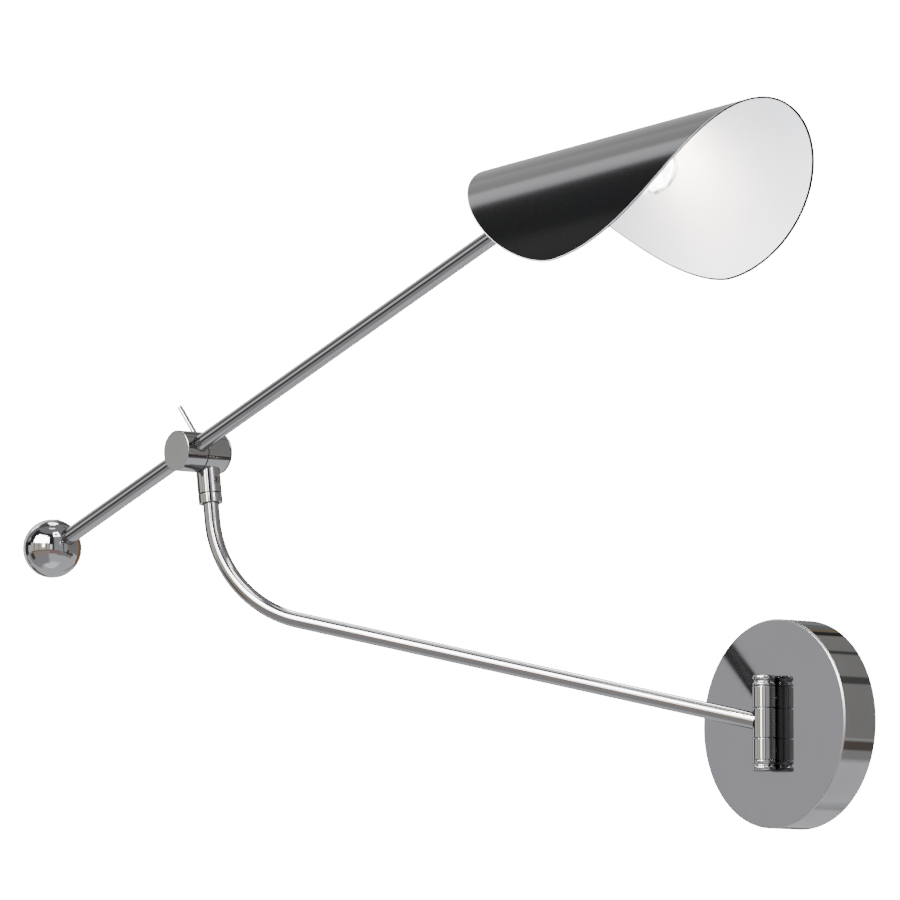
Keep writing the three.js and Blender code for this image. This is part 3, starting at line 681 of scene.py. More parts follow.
def wall_inside_pieces():
    """What sits between the wall and the face: screws, terminal block, supply lead, washers and nuts."""
    for side, name in ((1, "upper_side_screw"), (-1, "lower_side_screw")):
        screw = grub_screw(SIDE_SCREW_RADIUS, SIDE_SCREW_START, SIDE_SCREW_END)
        way = shift(0, SIDE_SCREW_Y, 0) @ mirrored(side)
        piece(name + "_socket_head", screw, way, "wall_plate", "plain_steel", name)
    top = EARTH_HEAD_TOP
    earth = turned([
        (0, 0.2 * MM, 0), (1.7 * MM, 0.2 * MM, 0), (1.7 * MM, 2.3 * MM, 0), (3.6 * MM, 2.3 * MM, SMALL_EDGE),
        (3.6 * MM, 3.4 * MM, 0.4 * MM), (2.6 * MM, top, 0.4 * MM), (0, top, 0),
    ], 64)
    way = shift(*EARTH_PLACE) @ turn("X", 90)
    slotted = cut(earth, slot_cutter(5 * MM, 0.6 * MM, top, 1 * MM))
    piece("earth_screw_slotted", slotted, way, "wall_plate", "earth_screw", "ground_screw")
    wells = []
    for count, height in enumerate(TERMINAL_HEIGHTS, 1):
        at = shift(0, 0, height) @ ALONG_Y
        wells.append(placed(disc(2 * MM, -20 * MM, -5.5 * MM, 0, 48), at))
        screw = placed(disc(1.7 * MM, 6 * MM, TERMINAL_TOP, 0.2 * MM, 48), turn("X", 180))
        slot = placed(slot_cutter(3 * MM, 0.6 * MM, TERMINAL_TOP, 0.8 * MM), turn("X", 180))
        piece(f"terminal_slotted_screw_{count}", cut(screw, slot), at, "wall_plate", "brass",
              f"terminal_screw_{count}")
    body = block((-8 * MM, 8 * MM), (-13.5 * MM, -2.3 * MM), (-13 * MM, 13 * MM))
    piece("terminal_body", cut(body, *wells), Matrix(), "wall_plate", "porcelain",
          "terminal_block", soft=0.5 * MM)
    lead = sweep(smooth(LEAD_ROUTE, 8), LEAD_RADIUS, 0, 32)
    piece("supply_lead_loop", lead, Matrix(), "wall_plate", "cable_jacket", "supply_lead")
    for side, word in ((1, "upper"), (-1, "lower")):
        at = shift(0, 0, side * STUD_HEIGHT) @ ALONG_Y
        flat = ring(STUD_RADIUS + GAP, 6 * MM, -22 * MM, -21.2 * MM, 0.15 * MM, 64)
        piece(word + "_flat_washer", placed(flat, at), Matrix(), "wall_plate", "plain_steel",
              word + "_stud_washer")
        hexagon = nut(STUD_RADIUS + GAP, 4.6 * MM, -20.9 * MM, -17.4 * MM)
        piece(word + "_hexagon_nut", placed(hexagon, at), Matrix(), "wall_plate", "plain_steel",
              word + "_stud_nut", soft=0.2 * MM)


def hinge_pieces():
    """The hinge's fixed knuckles and the finials above and below them, the lower ones upside down."""
    r = KNUCKLE_RADIUS
    inside = r - GROOVE_DEPTH
    bore = PIN_RADIUS + GAP
    seat = WASHER_SEAT_RADIUS
    low = KNUCKLE_BOTTOM + GROOVE
    high = KNUCKLE_TOP - GROOVE
    ends = ((1, "upper_knuckle", "top_finial"), (-1, "lower_knuckle", "bottom_finial"))
    for side, knuckle, finial in ends:
        way = HINGE @ mirrored(side)
        sleeve = turned([
            (bore, WASHER_SEAT, 0), (seat, WASHER_SEAT, 0), (seat, KNUCKLE_BOTTOM, 0),
            (inside, KNUCKLE_BOTTOM, 0), (inside, low, 0), (r, low, FINE_EDGE), (r, high, FINE_EDGE),
            (inside, high, 0), (inside, KNUCKLE_TOP, 0), (bore, KNUCKLE_TOP, 0),
        ], 128)
        piece(knuckle + "_sleeve", sleeve, way, "wall_plate", "chrome_turned", knuckle)
        base = KNUCKLE_TOP + GAP
        neck = r - 0.9 * MM
        finial_body = turned([
            (0, base, 0), (r, base, 0.3 * MM), (r, 22.7 * MM, 0.35 * MM), (neck, 23.6 * MM, 0.3 * MM),
            (neck, 24.4 * MM, 0.3 * MM), (r, 25.3 * MM, 0.35 * MM), (r, FINIAL_TOP, 1.3 * MM),
            (0, FINIAL_TOP, 0),
        ], 128)
        drilled = cut(finial_body, disc(bore, 15 * MM, 25.3 * MM, 0, 64))
        piece(finial + "_turned", drilled, way, "wall_plate", "chrome_turned", finial)


def arm_pieces():
    """The hinge's middle knuckle, the bent tube, and the collar on its stem."""
    r = KNUCKLE_RADIUS
    inside = r - GROOVE_DEPTH
    bore = PIN_RADIUS + GAP
    half = MIDDLE_HALF
    end = half - GROOVE
    sleeve = turned([
        (bore, -half, 0), (inside, -half, 0), (inside, -end, 0), (r, -end, FINE_EDGE),
        (r, end, FINE_EDGE), (inside, end, 0), (inside, half, 0), (bore, half, 0),
    ], 128)
    hole = placed(disc(TUBE_RADIUS + GAP, 4.6 * MM, 20 * MM, 0, 64), turn("Y", -ARM_RISE) @ ALONG_X)
    piece("middle_knuckle_sleeve", cut(sleeve, hole), ARM, "arm", "chrome_turned", "middle_knuckle")

    start = TUBE_START
    end = ARM_LENGTH + COLLAR_BOTTOM + TUBE_IN_COLLAR
    steps = 160
    path = [arm_point(start + (end - start) * step / steps) for step in range(steps + 1)]
    piece("arm_bent_tube", sweep(path, TUBE_RADIUS, TUBE_BORE, 64), TUBE, "arm", "chrome_tube",
          "arm_tube")
    bore = TUBE_RADIUS + GAP
    r = SLEEVE_RADIUS
    inside = r - GROOVE_DEPTH
    low = COLLAR_BOTTOM
    high = SLEEVE_BOTTOM - GAP
    collar = turned([
        (bore, low, 0.2 * MM), (r, low, 0.3 * MM), (r, high - GROOVE, SMALL_EDGE),
        (inside, high - GROOVE, 0), (inside, high, 0), (bore, high, 0),
    ], 128)
    piece("swivel_collar_ring", collar, STEM, "arm", "chrome_turned", "swivel_collar")


def tee_pieces():
    """The clamp's casting, a barrel across a sleeve, with its set screws and its rear cap."""
    front = SEAM + GAP / 2
    rear = BARREL_REAR - CAP_THICKNESS - GAP
    r = BARREL_RADIUS
    inside = r - GROOVE_DEPTH
    low = front + GROOVE
    barrel = placed(turned([
        (0, front, 0), (inside, front, 0), (inside, low, 0), (r, low, SMALL_EDGE), (r, rear, SMALL_EDGE),
        (0, rear, 0),
    ], 192), ALONG_Y)
    r = SLEEVE_RADIUS
    inside = r - GROOVE_DEPTH
    bottom = SLEEVE_BOTTOM
    low = bottom + GROOVE
    sleeve = turned([
        (0, bottom, 0), (inside, bottom, 0), (inside, low, 0), (r, low, SMALL_EDGE),
        (r, -4 * MM, 0.3 * MM), (0, -4 * MM, 0),
    ], 128)
    tools = [
        disc_y(DISC_RECESS, front - 1 * MM, front + 1.3 * MM),
        disc_y(HUB_RADIUS + GAP, front - 1 * MM, 0),
        disc_y(REAR_RECESS, -3.6 * MM, rear + 1 * MM),
        disc(SPIGOT_RADIUS + GAP, SLEEVE_BOTTOM - 1 * MM, -8 * MM),
        lever_slot(),
    ]
    for height in SET_SCREW_HEIGHTS:
        tools.append(placed(disc(SET_SCREW_HOLE, 3 * MM, 9 * MM, 0, 32), shift(0, 0, height) @ ALONG_X))
    piece("tee_casting", cut(join(barrel, sleeve), *tools), TEE, "tee", "chrome_turned", "tee_body")
    for count, height in enumerate(SET_SCREW_HEIGHTS, 1):
        screw = placed(grub_screw(SET_SCREW_RADIUS, 4.25 * MM, 7 * MM), shift(0, 0, height) @ ALONG_X)
        piece(f"sleeve_screw_{count}", screw, TEE, "tee", "plain_steel", f"sleeve_set_screw_{count}")
    back = BARREL_REAR
    face = back - CAP_THICKNESS
    rim_end = face - 2 * MM
    inner, outer = CAP_RIM
    cap = turned([
        (0, face, 0), (inner, face, 0), (inner, rim_end, 0.2 * MM), (outer, rim_end, 0.2 * MM),
        (outer, face, 0), (BARREL_RADIUS, face, 0.15 * MM), (BARREL_RADIUS, back, 0.5 * MM), (0, back, 0),
    ], 192)
    piece("rear_cap", placed(cap, ALONG_Y), TEE, "tee", "chrome_turned", "barrel_rear_cap")


def lever_slot():
    """The slot in the barrel's shell that the lever swings in."""
    margin = 10
    steps = 24
    outer = BARREL_RADIUS + 3 * MM
    inner = 9.5 * MM
    half = LEVER_RADIUS + 0.4 * MM
    first = LEVER_ANGLE - LEVER_TRAVEL - margin
    last = LEVER_ANGLE + margin
    vertices = []
    faces = []
    for step in range(steps + 1):
        angle = math.radians(first + (last - first) * step / steps)
        for radius, y in ((inner, -half), (outer, -half), (outer, half), (inner, half)):
            vertices.append(Vector((radius * math.cos(angle), y, radius * math.sin(angle))))
    for step in range(steps):
        faces += quads(4 * step, 4 * step + 4, 4)
    faces.append([0, 1, 2, 3])
    faces.append([4 * steps + side for side in range(4)])
    return vertices, faces


def lever_pieces():
    """The locking lever, a plain pin that leans back from the barrel."""
    pin = disc(LEVER_RADIUS, 6.4 * MM, LEVER_LENGTH, 0.6 * MM, 48)
    tilt = turn("Y", 90 - LEVER_ANGLE)
    piece("lock_lever_pin", placed(pin, tilt), TEE, "lever", "chrome_turned", "lock_lever")


def boom_pieces():
    """The barrel's front half, the straight rod through it, and the ball on the rod's end."""
    front = BARREL_FRONT + ROD_OUT
    rear = SEAM - GAP / 2 + ROD_OUT
    r = BARREL_RADIUS
    inside = r - GROOVE_DEPTH
    high = rear - GROOVE
    half = turned([
        (0, front, 0), (r, front, 0.45 * MM), (r, high, SMALL_EDGE), (inside, high, 0), (inside, rear, 0),
        (0, rear, 0),
    ], 192)
    hub = disc(HUB_RADIUS, rear - 1 * MM, HUB_END + ROD_OUT, 0.3 * MM)
    body = join(placed(half, ALONG_Y), placed(hub, ALONG_Y))
    rod_bore = disc_x(TUBE_RADIUS + TUBE_FIT, -20 * MM, 20 * MM)
    cable_bore = disc_y(HUB_BORE, 0, HUB_END + ROD_OUT + 1 * MM, 0, 48)
    screw_hole = disc(SET_SCREW_HOLE, 0, 20 * MM, 0, 32)
    body = cut(body, rod_bore, cable_bore, screw_hole)
    piece("barrel_front_half", body, BOOM, "boom", "chrome_turned", "barrel_front")
    screw = grub_screw(SET_SCREW_RADIUS, 5.2 * MM, 11.3 * MM)
    piece("rod_clamp_screw", screw, BOOM, "boom", "plain_steel", "rod_set_screw")
    rod = ring(TUBE_BORE, TUBE_RADIUS, 6 * MM - BALL_REACH, HEAD_REACH - 15.3 * MM, 0.2 * MM, 64)
    piece("boom_straight_rod", placed(rod, ALONG_X), BOOM, "boom", "chrome_tube", "boom_rod")

    profile = [(0, -BALL_RADIUS)]
    steps = 72
    for step in range(1, steps):
        angle = math.pi * step / steps
        profile.append((BALL_RADIUS * math.sin(angle), -BALL_RADIUS * math.cos(angle)))
    profile.append((0, BALL_RADIUS))
    bore = disc_x(TUBE_RADIUS + TUBE_FIT, 5 * MM, 30 * MM)
    hole = placed(disc(2.3 * MM, 3 * MM, 30 * MM, 0, 48), shift(BALL_SCREW_X, 0, 0))
    piece("counterweight_sphere", cut(placed(lathe(profile, 144), ALONG_X), bore, hole), BALL, "boom",
          "chrome_turned", "counterweight_ball")
    ball_screw = placed(grub_screw(2 * MM, 5.2 * MM, 14.5 * MM), shift(BALL_SCREW_X, 0, 0))
    piece("ball_clamp_screw", ball_screw, BALL, "boom", "plain_steel", "ball_set_screw")


def bent(w, depth):
    """Where a point of the folded sheet lies: w runs from the ridge along the sheet, depth into it."""
    steps = 60
    reach = abs(w)
    y = 0.0
    z = 0.0
    for step in range(steps):
        slope = FOLD_SLOPE * math.tanh((step + 0.5) * reach / steps / (FOLD_RADIUS * FOLD_SLOPE))
        y += math.cos(slope) * reach / steps
        z -= math.sin(slope) * reach / steps
    end = FOLD_SLOPE * math.tanh(reach / (FOLD_RADIUS * FOLD_SLOPE))
    return math.copysign(y - depth * math.sin(end), w), z - depth * math.cos(end)


def shade_point(reach, angle, depth):
    """A point of the folded oval sheet: reach goes from the middle, 0, to the edge, 1."""
    forward = math.cos(angle) >= 0
    power = 2 / (FRONT_POWER if forward else REAR_POWER)
    length = BLANK_FRONT if forward else -BLANK_REAR
    s = reach * length * abs(math.cos(angle)) ** power
    w = reach * BLANK_SIDE * math.copysign(abs(math.sin(angle)) ** power, math.sin(angle))
    y, z = bent(w, depth)
    return RIDGE_MID + Vector((s, y, z))


def shade_piece():
    """The folded sheet: black outside, white inside; along its edge a light grey band outside, a painted
    highlight, and a black band inside, painted shade.
    """
    segments = 240
    rings = 40
    rim = 0.3 * MM / BLANK_SIDE
    highlight_band_reach = HIGHLIGHT_BAND_REACH / BLANK_SIDE
    rows = [(count / rings * (1 - highlight_band_reach), 0) for count in range(1, rings + 1)]
    rows.append((1 - rim, 0))
    edge = [(1 - 0.3 * rim, 0.12), (1, 0.35), (1, 0.65), (1 - 0.3 * rim, 0.88)]
    rows += [(reach, share * SHEET) for reach, share in edge]
    rows.append((1 - rim, SHEET))
    inside = 1 - PAINTED_EDGE_SHADE / BLANK_SIDE
    rows += [(count / rings * inside, SHEET) for count in range(rings, 0, -1)]
    vertices = [shade_point(0, 0, 0)]
    for reach, depth in rows:
        for count in range(segments):
            vertices.append(shade_point(reach, 2 * math.pi * count / segments, depth))
    vertices.append(shade_point(0, 0, SHEET))
    faces = []
    looks = []
    last = len(vertices) - 1
    for count in range(segments):
        following = (count + 1) % segments
        faces.append([0, 1 + count, 1 + following])
        looks.append(0)
        for row in range(len(rows) - 1):
            low = 1 + row * segments
            high = low + segments
            faces.append([low + count, high + count, high + following, low + following])
            # The last outside row gets the light grey painted highlight; the rim is black, and so is the
            # first inside row, painted shade; the rest of the inside is white.
            looks.append(2 if row == rings - 1 else 0 if row < rings + 6 else 1)
        low = 1 + (len(rows) - 1) * segments
        faces.append([low + count, last, low + following])
        looks.append(1)
    mesh = bpy.data.meshes.new("shade_sheet")
    mesh.from_pydata([tuple(HEAD @ vertex) for vertex in vertices], [], faces)
    for polygon, look in zip(mesh.polygons, looks):
        polygon.use_smooth = True
        polygon.material_index = look
    mesh.set_sharp_from_angle(angle=math.radians(SHADE_SHARP_ANGLE))
    made = object_of("shade_sheet", mesh)
    for material in (BLACK, WHITE, EDGE_HIGHLIGHT_LOOK):
        mesh.materials.append(material)
    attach(made, "head")
    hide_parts("shade")


def shade_fixing_pieces():
    """The two studs under the shade's ridge and the nuts that hold it on its bracket."""
    underside = RIDGE_MID.z - SHEET
    pad_top = underside - GAP
    low = pad_top - BRACKET_PAD - GAP - NUT_THICKNESS
    for count, x in enumerate(STUD_XS, 1):
        stud = disc(1.5 * MM, underside - 4.6 * MM, underside + 0.2 * MM, 0.2 * MM, 48)
        piece(f"shade_stud_{count}", placed(stud, shift(x, 0, 0)), HEAD, "head", "plain_steel", "shade")
        hexagon = placed(nut(1.8 * MM, 3.3 * MM, low, low + NUT_THICKNESS), shift(x, 0, 0))
        piece(f"shade_hexagon_nut_{count}", hexagon, HEAD, "head", "plain_steel", f"shade_nut_{count}",
              soft=0.15 * MM)


def bracket_pad():
    """A strip that follows the sheet's underside."""
    columns = 24
    half = 9 * MM
    depths = (SHEET + GAP, SHEET + GAP + BRACKET_PAD)
    section = []
    for depth, way in zip(depths, (1, -1)):
        for count in range(columns + 1):
            y, z = bent(way * half * (2 * count / columns - 1), depth)
            section.append((y, RIDGE_MID.z + z))
    size = len(section)
    vertices = [Vector((x, y, z)) for x in (WEB_START, WEB_START + 27.5 * MM) for y, z in section]
    return vertices, [list(range(size)), list(range(size, 2 * size)), *quads(0, size, size)]


def knuckle_pieces():
    """The head's knuckle: the rod's eye, the fork round it, its screw and nut, and the shade's bracket."""
    way = BOOM @ shift(HEAD_REACH, 0, 0)
    inner = TUBE_BORE - GAP
    outer = TUBE_RADIUS
    shank = turned([
        (0, -27 * MM, 0), (inner, -27 * MM, 0.4 * MM), (inner, -15 * MM, 0), (outer, -15 * MM, 0.2 * MM),
        (outer, -9.6 * MM, 0.6 * MM), (0, -9.6 * MM, 0),
    ])
    tongue = block((-10 * MM, 0), (-EYE_HALF, EYE_HALF), (-4 * MM, 4 * MM))
    eye = disc_y(EAR_RADIUS, -EYE_HALF, EYE_HALF, 0.3 * MM)
    hole = disc_y(PIVOT_HOLE, -5 * MM, 5 * MM, 0, 48)
    end = cut(join(placed(shank, ALONG_X), tongue, eye), hole)
    piece("rod_end_eye", end, way, "boom", "chrome_turned", "rod_end")
    parts = [disc_x(9 * MM, FORK_BASE, WEB_START - GAP, 0.4 * MM)]
    for side in (1, -1):
        low, high = sorted((side * 2.9 * MM, side * 6.3 * MM))
        parts.append(block((0, FORK_BASE + 1 * MM), (low, high), (-5.4 * MM, 5.4 * MM)))
        parts.append(disc_y(EAR_RADIUS, low, high, 0.3 * MM))
    pivot = disc_y(PIVOT_HOLE, -10 * MM, 10 * MM, 0, 48)
    cable = disc_x(5.2 * MM, FORK_BASE - 1 * MM, WEB_START + 1 * MM, 0, 64)
    fork = cut(join(*parts), pivot, cable)
    piece("fork_two_ears", fork, HEAD, "head", "chrome_turned", "head_fork")
    screw = turned([
        (0, -9.2 * MM, 0), (2.6 * MM, -9.2 * MM, 0.3 * MM), (3.7 * MM, -8.2 * MM, 0.3 * MM),
        (3.7 * MM, -6.6 * MM, 0.1 * MM), (1.9 * MM, -6.6 * MM, 0), (1.9 * MM, 10 * MM, 0.3 * MM),
        (0, 10 * MM, 0),
    ], 64)
    slot = block((-0.4 * MM, 0.4 * MM), (-5 * MM, 5 * MM), (-10 * MM, -8.3 * MM))
    piece("pivot_slotted_screw", placed(cut(screw, slot), ALONG_Y), HEAD, "head", "plain_steel",
          "pivot_screw")
    hexagon = nut(PIVOT_HOLE, 3.9 * MM, 6.6 * MM, 9.4 * MM)
    piece("pivot_hexagon_nut", placed(hexagon, ALONG_Y), HEAD, "head", "plain_steel", "pivot_nut",
          soft=0.15 * MM)
    web_top = RIDGE_MID.z - SHEET - GAP - 1 * MM
    web = block((WEB_START, CUP_START - GAP), (-7 * MM, 7 * MM), (-9 * MM, web_top))
    holes = [disc_x(5.3 * MM, WEB_START - 1 * MM, CUP_START + 1 * MM, 0, 64)]
    holes += [placed(disc(1.8 * MM, 10 * MM, 25 * MM, 0, 48), shift(x, 0, 0)) for x in STUD_XS]
    piece("shade_bracket_angle", cut(join(web, bracket_pad()), *holes), HEAD, "head", "plain_steel",
          "shade_bracket")


def socket_pieces():
    """The cup behind the bulb, the lamp socket in it, and the bulb's screw cap."""
    r = CUP_RADIUS
    inner = r - CUP_WALL
    hole = 5.3 * MM
    back = CUP_START
    floor_top = back + 2 * MM
    cup = turned([
        (hole, back, 0.2 * MM), (r, back, 1.6 * MM), (r, CUP_END, 0.4 * MM), (inner, CUP_END, 0.2 * MM),
        (inner, floor_top, 0), (hole, floor_top, 0),
    ], 128)
    piece("socket_cup_turned", placed(cup, ALONG_X), HEAD, "head", "black_metal", "socket_cup")
    r = SOCKET_RADIUS
    hole = 2.3 * MM
    inner = 6.5 * MM
    front = SOCKET_FRONT
    back = CUP_START + 2.3 * MM
    floor_top = back + 3 * MM
    body = turned([
        (hole, back, 0), (r, back, 0.4 * MM), (r, front, 0.8 * MM), (inner, front, 0.3 * MM),
        (inner, floor_top, 0), (hole, floor_top, 0),
    ])
    piece("lamp_socket_body", placed(body, ALONG_X), HEAD, "head", "porcelain", "lamp_socket")
    nipple = ring(3.4 * MM, 4.9 * MM, FORK_BASE + 0.2 * MM, CUP_START + 2 * MM, 0.2 * MM, 64)
    piece("threaded_nipple", placed(nipple, ALONG_X), HEAD, "head", "brass", "socket_nipple")
    shell = ring(5.9 * MM, 6.2 * MM, 24 * MM, 40 * MM, 0.1 * MM)
    piece("socket_shell_sleeve", placed(shell, ALONG_X), HEAD, "head", "brass", "socket_shell")
    corners = [(0, 21.4 * MM, 0), (2.2 * MM, 21.4 * MM, 0.3 * MM), (2.4 * MM, 22.4 * MM, 0.3 * MM),
               (5.2 * MM, 23.6 * MM, 0.3 * MM)]
    for count in range(4):
        corners.append((5.6 * MM, (24.8 + count * 3.5) * MM, 0.8 * MM))
        corners.append((5.2 * MM, (26.5 + count * 3.5) * MM, 0.8 * MM))
    corners += [(5.6 * MM, 39.5 * MM, 0.4 * MM), (5.6 * MM, 41.5 * MM, 0.2 * MM), (0, 41.5 * MM, 0)]
    piece("bulb_screw_cap", placed(turned(corners), ALONG_X), HEAD, "head", "brass", "bulb_base")


def bulb_outline(inset):
    """The bulb's outline from its neck to its tip: an eased neck, then a globe."""
    neck_steps = 12
    globe_steps = 28
    narrow = BULB_NECK_RADIUS
    widest = math.sqrt(BULB_RADIUS**2 - (BULB_CENTRE - BULB_BLEND) ** 2)
    points = []
    for step in range(neck_steps + 1):
        t = step / neck_steps
        ease = t * t * (3 - 2 * t)
        height = BULB_NECK + (BULB_BLEND - BULB_NECK) * t
        points.append((narrow + (widest - narrow) * ease - inset, height))
    start = math.acos((BULB_BLEND - BULB_CENTRE) / BULB_RADIUS)
    radius = BULB_RADIUS - inset
    for step in range(1, globe_steps):
        angle = start * (1 - step / globe_steps)
        points.append((radius * math.sin(angle), BULB_CENTRE + radius * math.cos(angle)))
    points.append((0, BULB_CENTRE + radius))
    return points


def bulb_pieces():
    """The glass, open at its neck, and the three glowing sticks on their stem."""
    glass = lathe(bulb_outline(0) + bulb_outline(BULB_GLASS)[::-1])
    piece("bulb_envelope", placed(glass, ALONG_X), HEAD, "head", "bulb_glass", "bulb_glass")
    stem = turned([
        (0, 42.1 * MM, 0), (3.6 * MM, 42.1 * MM, 0.3 * MM), (3.2 * MM, 50 * MM, 1 * MM),
        (1.6 * MM, 56 * MM, 1 * MM), (1.2 * MM, 62 * MM, 0.3 * MM), (0, 62 * MM, 0),
    ], 48)
    parts = [stem]
    for count in range(3):
        around = turn("Z", 120 * count)
        stick = placed(disc(0.9 * MM, 61 * MM, 82 * MM, 0.5 * MM, 24), shift(0, 4.5 * MM, 0))
        spoke = placed(disc(0.4 * MM, 0, 4.6 * MM, 0.1 * MM, 16), shift(0, 0, 61.1 * MM) @ ALONG_Y)
        parts += [placed(stick, around), placed(spoke, around)]
    piece("bulb_lit_filaments", placed(together(*parts), ALONG_X), HEAD, "head", "filament",
          "bulb_filaments")


# ---- Camera, light and floor ----

CAMERA_PLACE = Vector((3.1290, -2.8866, -0.2589))
CAMERA_AZIMUTH = 50.06
CAMERA_ELEVATION = -5.62
LENS = 295.24
SENSOR = 36


def camera():
    """The camera, far from the lamp and with a long lens."""
    data = bpy.data.cameras.new("camera")
    data.lens = LENS
    data.sensor_width = SENSOR
    made = object_of("camera", data)
    made.location = CAMERA_PLACE
    made.rotation_euler = (math.radians(90 - CAMERA_ELEVATION), 0, math.radians(CAMERA_AZIMUTH))
    bpy.context.scene.camera = made


# The room that the chrome mirrors, as soft panels round the lamp: name, azimuth range, elevation range,
# softness of the panel's edges, all in degrees, and colour, or one number for a grey. A later panel lies
# over the earlier ones.
# Azimuth 0 is towards the camera and grows to the camera's right.
ROOM = [
    ("ceiling", (-200, 200), (47, 95), 5, (0.27, 0.27, 0.28)),
    ("dark_ceiling", (-200, -112), (54, 78), 6, 0.12),
    ("floor", (-200, 200), (-95, -10), 4, (0.60, 0.605, 0.62)),
    ("floor_below", (-75, 60), (-95, -58), 14, (0.98, 1.0, 1.02)),
    ("floor_by_window", (-112, -12), (-62, -12), 12, (0.32, 0.32, 0.33)),
    ("floor_right", (22, 96), (-29, -12), 5, (0.28, 0.27, 0.27)),
    ("undergrowth", (-90, -12), (-26, -6), 5, (0.38, 0.31, 0.26)),
    ("skirting", (-97, -79), (-31, -13), 4, (0.07, 0.07, 0.065)),
    ("sofa", (-10, 34), (-24, -8), 3, (0.34, 0.22, 0.22)),
    ("right_wall", (14, 66), (-10, 47), 3, (0.40, 0.40, 0.42)),
    ("far_wall", (66, 154), (-12, 58), 2, (0.25, 0.245, 0.235)),
    ("far_column", (123, 127.5), (28, 60), 5, 0.05),
    ("far_beam", (90, 104), (31, 36), 2, 0.08),
    ("far_table", (70, 100), (-21, -14), 2, (0.11, 0.09, 0.08)),
    ("wood", (132, 158), (-20, 28), 3, (0.24, 0.13, 0.055)),
    ("far_corner", (160, 173), (26, 60), 2, (0.17, 0.17, 0.175)),
    ("dark_post", (154, 160.5), (30, 60), 2, (0.04, 0.038, 0.033)),
    ("gold_edge", (161.2, 164.6), (30, 60), 1, (0.20, 0.165, 0.09)),
    ("dark_floor_right", (138, 150), (-46, -20), 6, (0.36, 0.36, 0.37)),
    ("dark_floor_left", (-134, -126), (-26, -10), 3, 0.08),
    ("dark_floor_back", (-168, -134), (-36, -24), 3, 0.10),
    ("back_wall", (158, 200), (-12, 24), 5, (0.70, 0.70, 0.71)),
    ("back_wall_left", (-200, -130), (-12, 50), 4, (0.9, 0.9, 0.92)),
    ("back_light", (-160, -143), (30, 50), 4, (1.35, 1.35, 1.38)),
    ("behind_right", (171, 200), (-14, 26), 3, (0.23, 0.23, 0.235)),
    ("behind_left", (-200, -163), (-14, 12), 3, (0.28, 0.28, 0.285)),
    ("left_wall", (-130, -100), (-12, 50), 2, (0.22, 0.22, 0.225)),
    ("small_window", (-143, -131), (31, 48), 2.5, (3.2, 3.2, 3.3)),
    ("frame", (-104, 10), (-10, 55), 5, (0.035, 0.035, 0.038)),
    ("shadow", (-128, -99), (-10, 15), 3, (0.05, 0.05, 0.048)),
    ("dark_gap", (-110, -100), (9.5, 15.5), 1, 0),
    ("shelf", (-110, -101), (19, 27), 2, 0.5),
    ("window", (-78, -10), (17, 40), 3, 20),
    ("window_arch", (-68, -22), (38, 46), 4, 20),
    ("trees", (-91, -10), (-8, 17), 2, (0.68, 0.64, 0.56)),
    ("clearing", (-37, -27), (2, 18), 3, (11, 11, 10.8)),
    ("trunk_1", (-75, -71), (-10, 20), 3, (0.2, 0.17, 0.13)),
    ("trunk_2", (-53, -50), (-10, 19), 3, (0.2, 0.17, 0.13)),
    ("trunk_3", (-22, -19), (-10, 21), 2, (0.12, 0.11, 0.09)),
    ("gap_in_trees", (-7, 3), (-8, 12), 3, (1.3, 1.3, 1.25)),
    ("panel", (-106, -99.5), (-10, 9), 1.5, (0.50, 0.505, 0.475)),
    ("panel_right", (-99.5, -90), (-10, 9), 1.5, (0.70, 0.695, 0.725)),
    ("lamp_above", (-50, 50), (78, 83), 2, 3),
    ("lamp_behind_right", (158, 200), (61, 78), 2, 9),
    ("lamp_behind_left", (-200, -158), (61, 78), 2, 9),
    ("lamp_middle_right", (172, 200), (68, 74), 1, 0.3),
    ("lamp_middle_left", (-200, -172), (68, 74), 1, 0.3),
    ("lamp_1", (8, 42), (43, 62), 2, 9),
    ("lamp_1_middle", (16, 32), (48, 56), 2, 0.3),
    ("lamp_2", (60, 74), (44, 50), 1, 6),
]
ROOM_BASE = (0.36, 0.36, 0.37)
# A reflection seen in another reflection is dimmed, so that its bright spots don't scatter.
SECOND_MIRROR = 0.42
SECOND_LIMIT = 0.8
# The even light on matt surfaces, and the white that the camera sees behind the lamp.
SOFT_LIGHT = (6.4, 6.8, 7.4)
BACKGROUND = 20.0


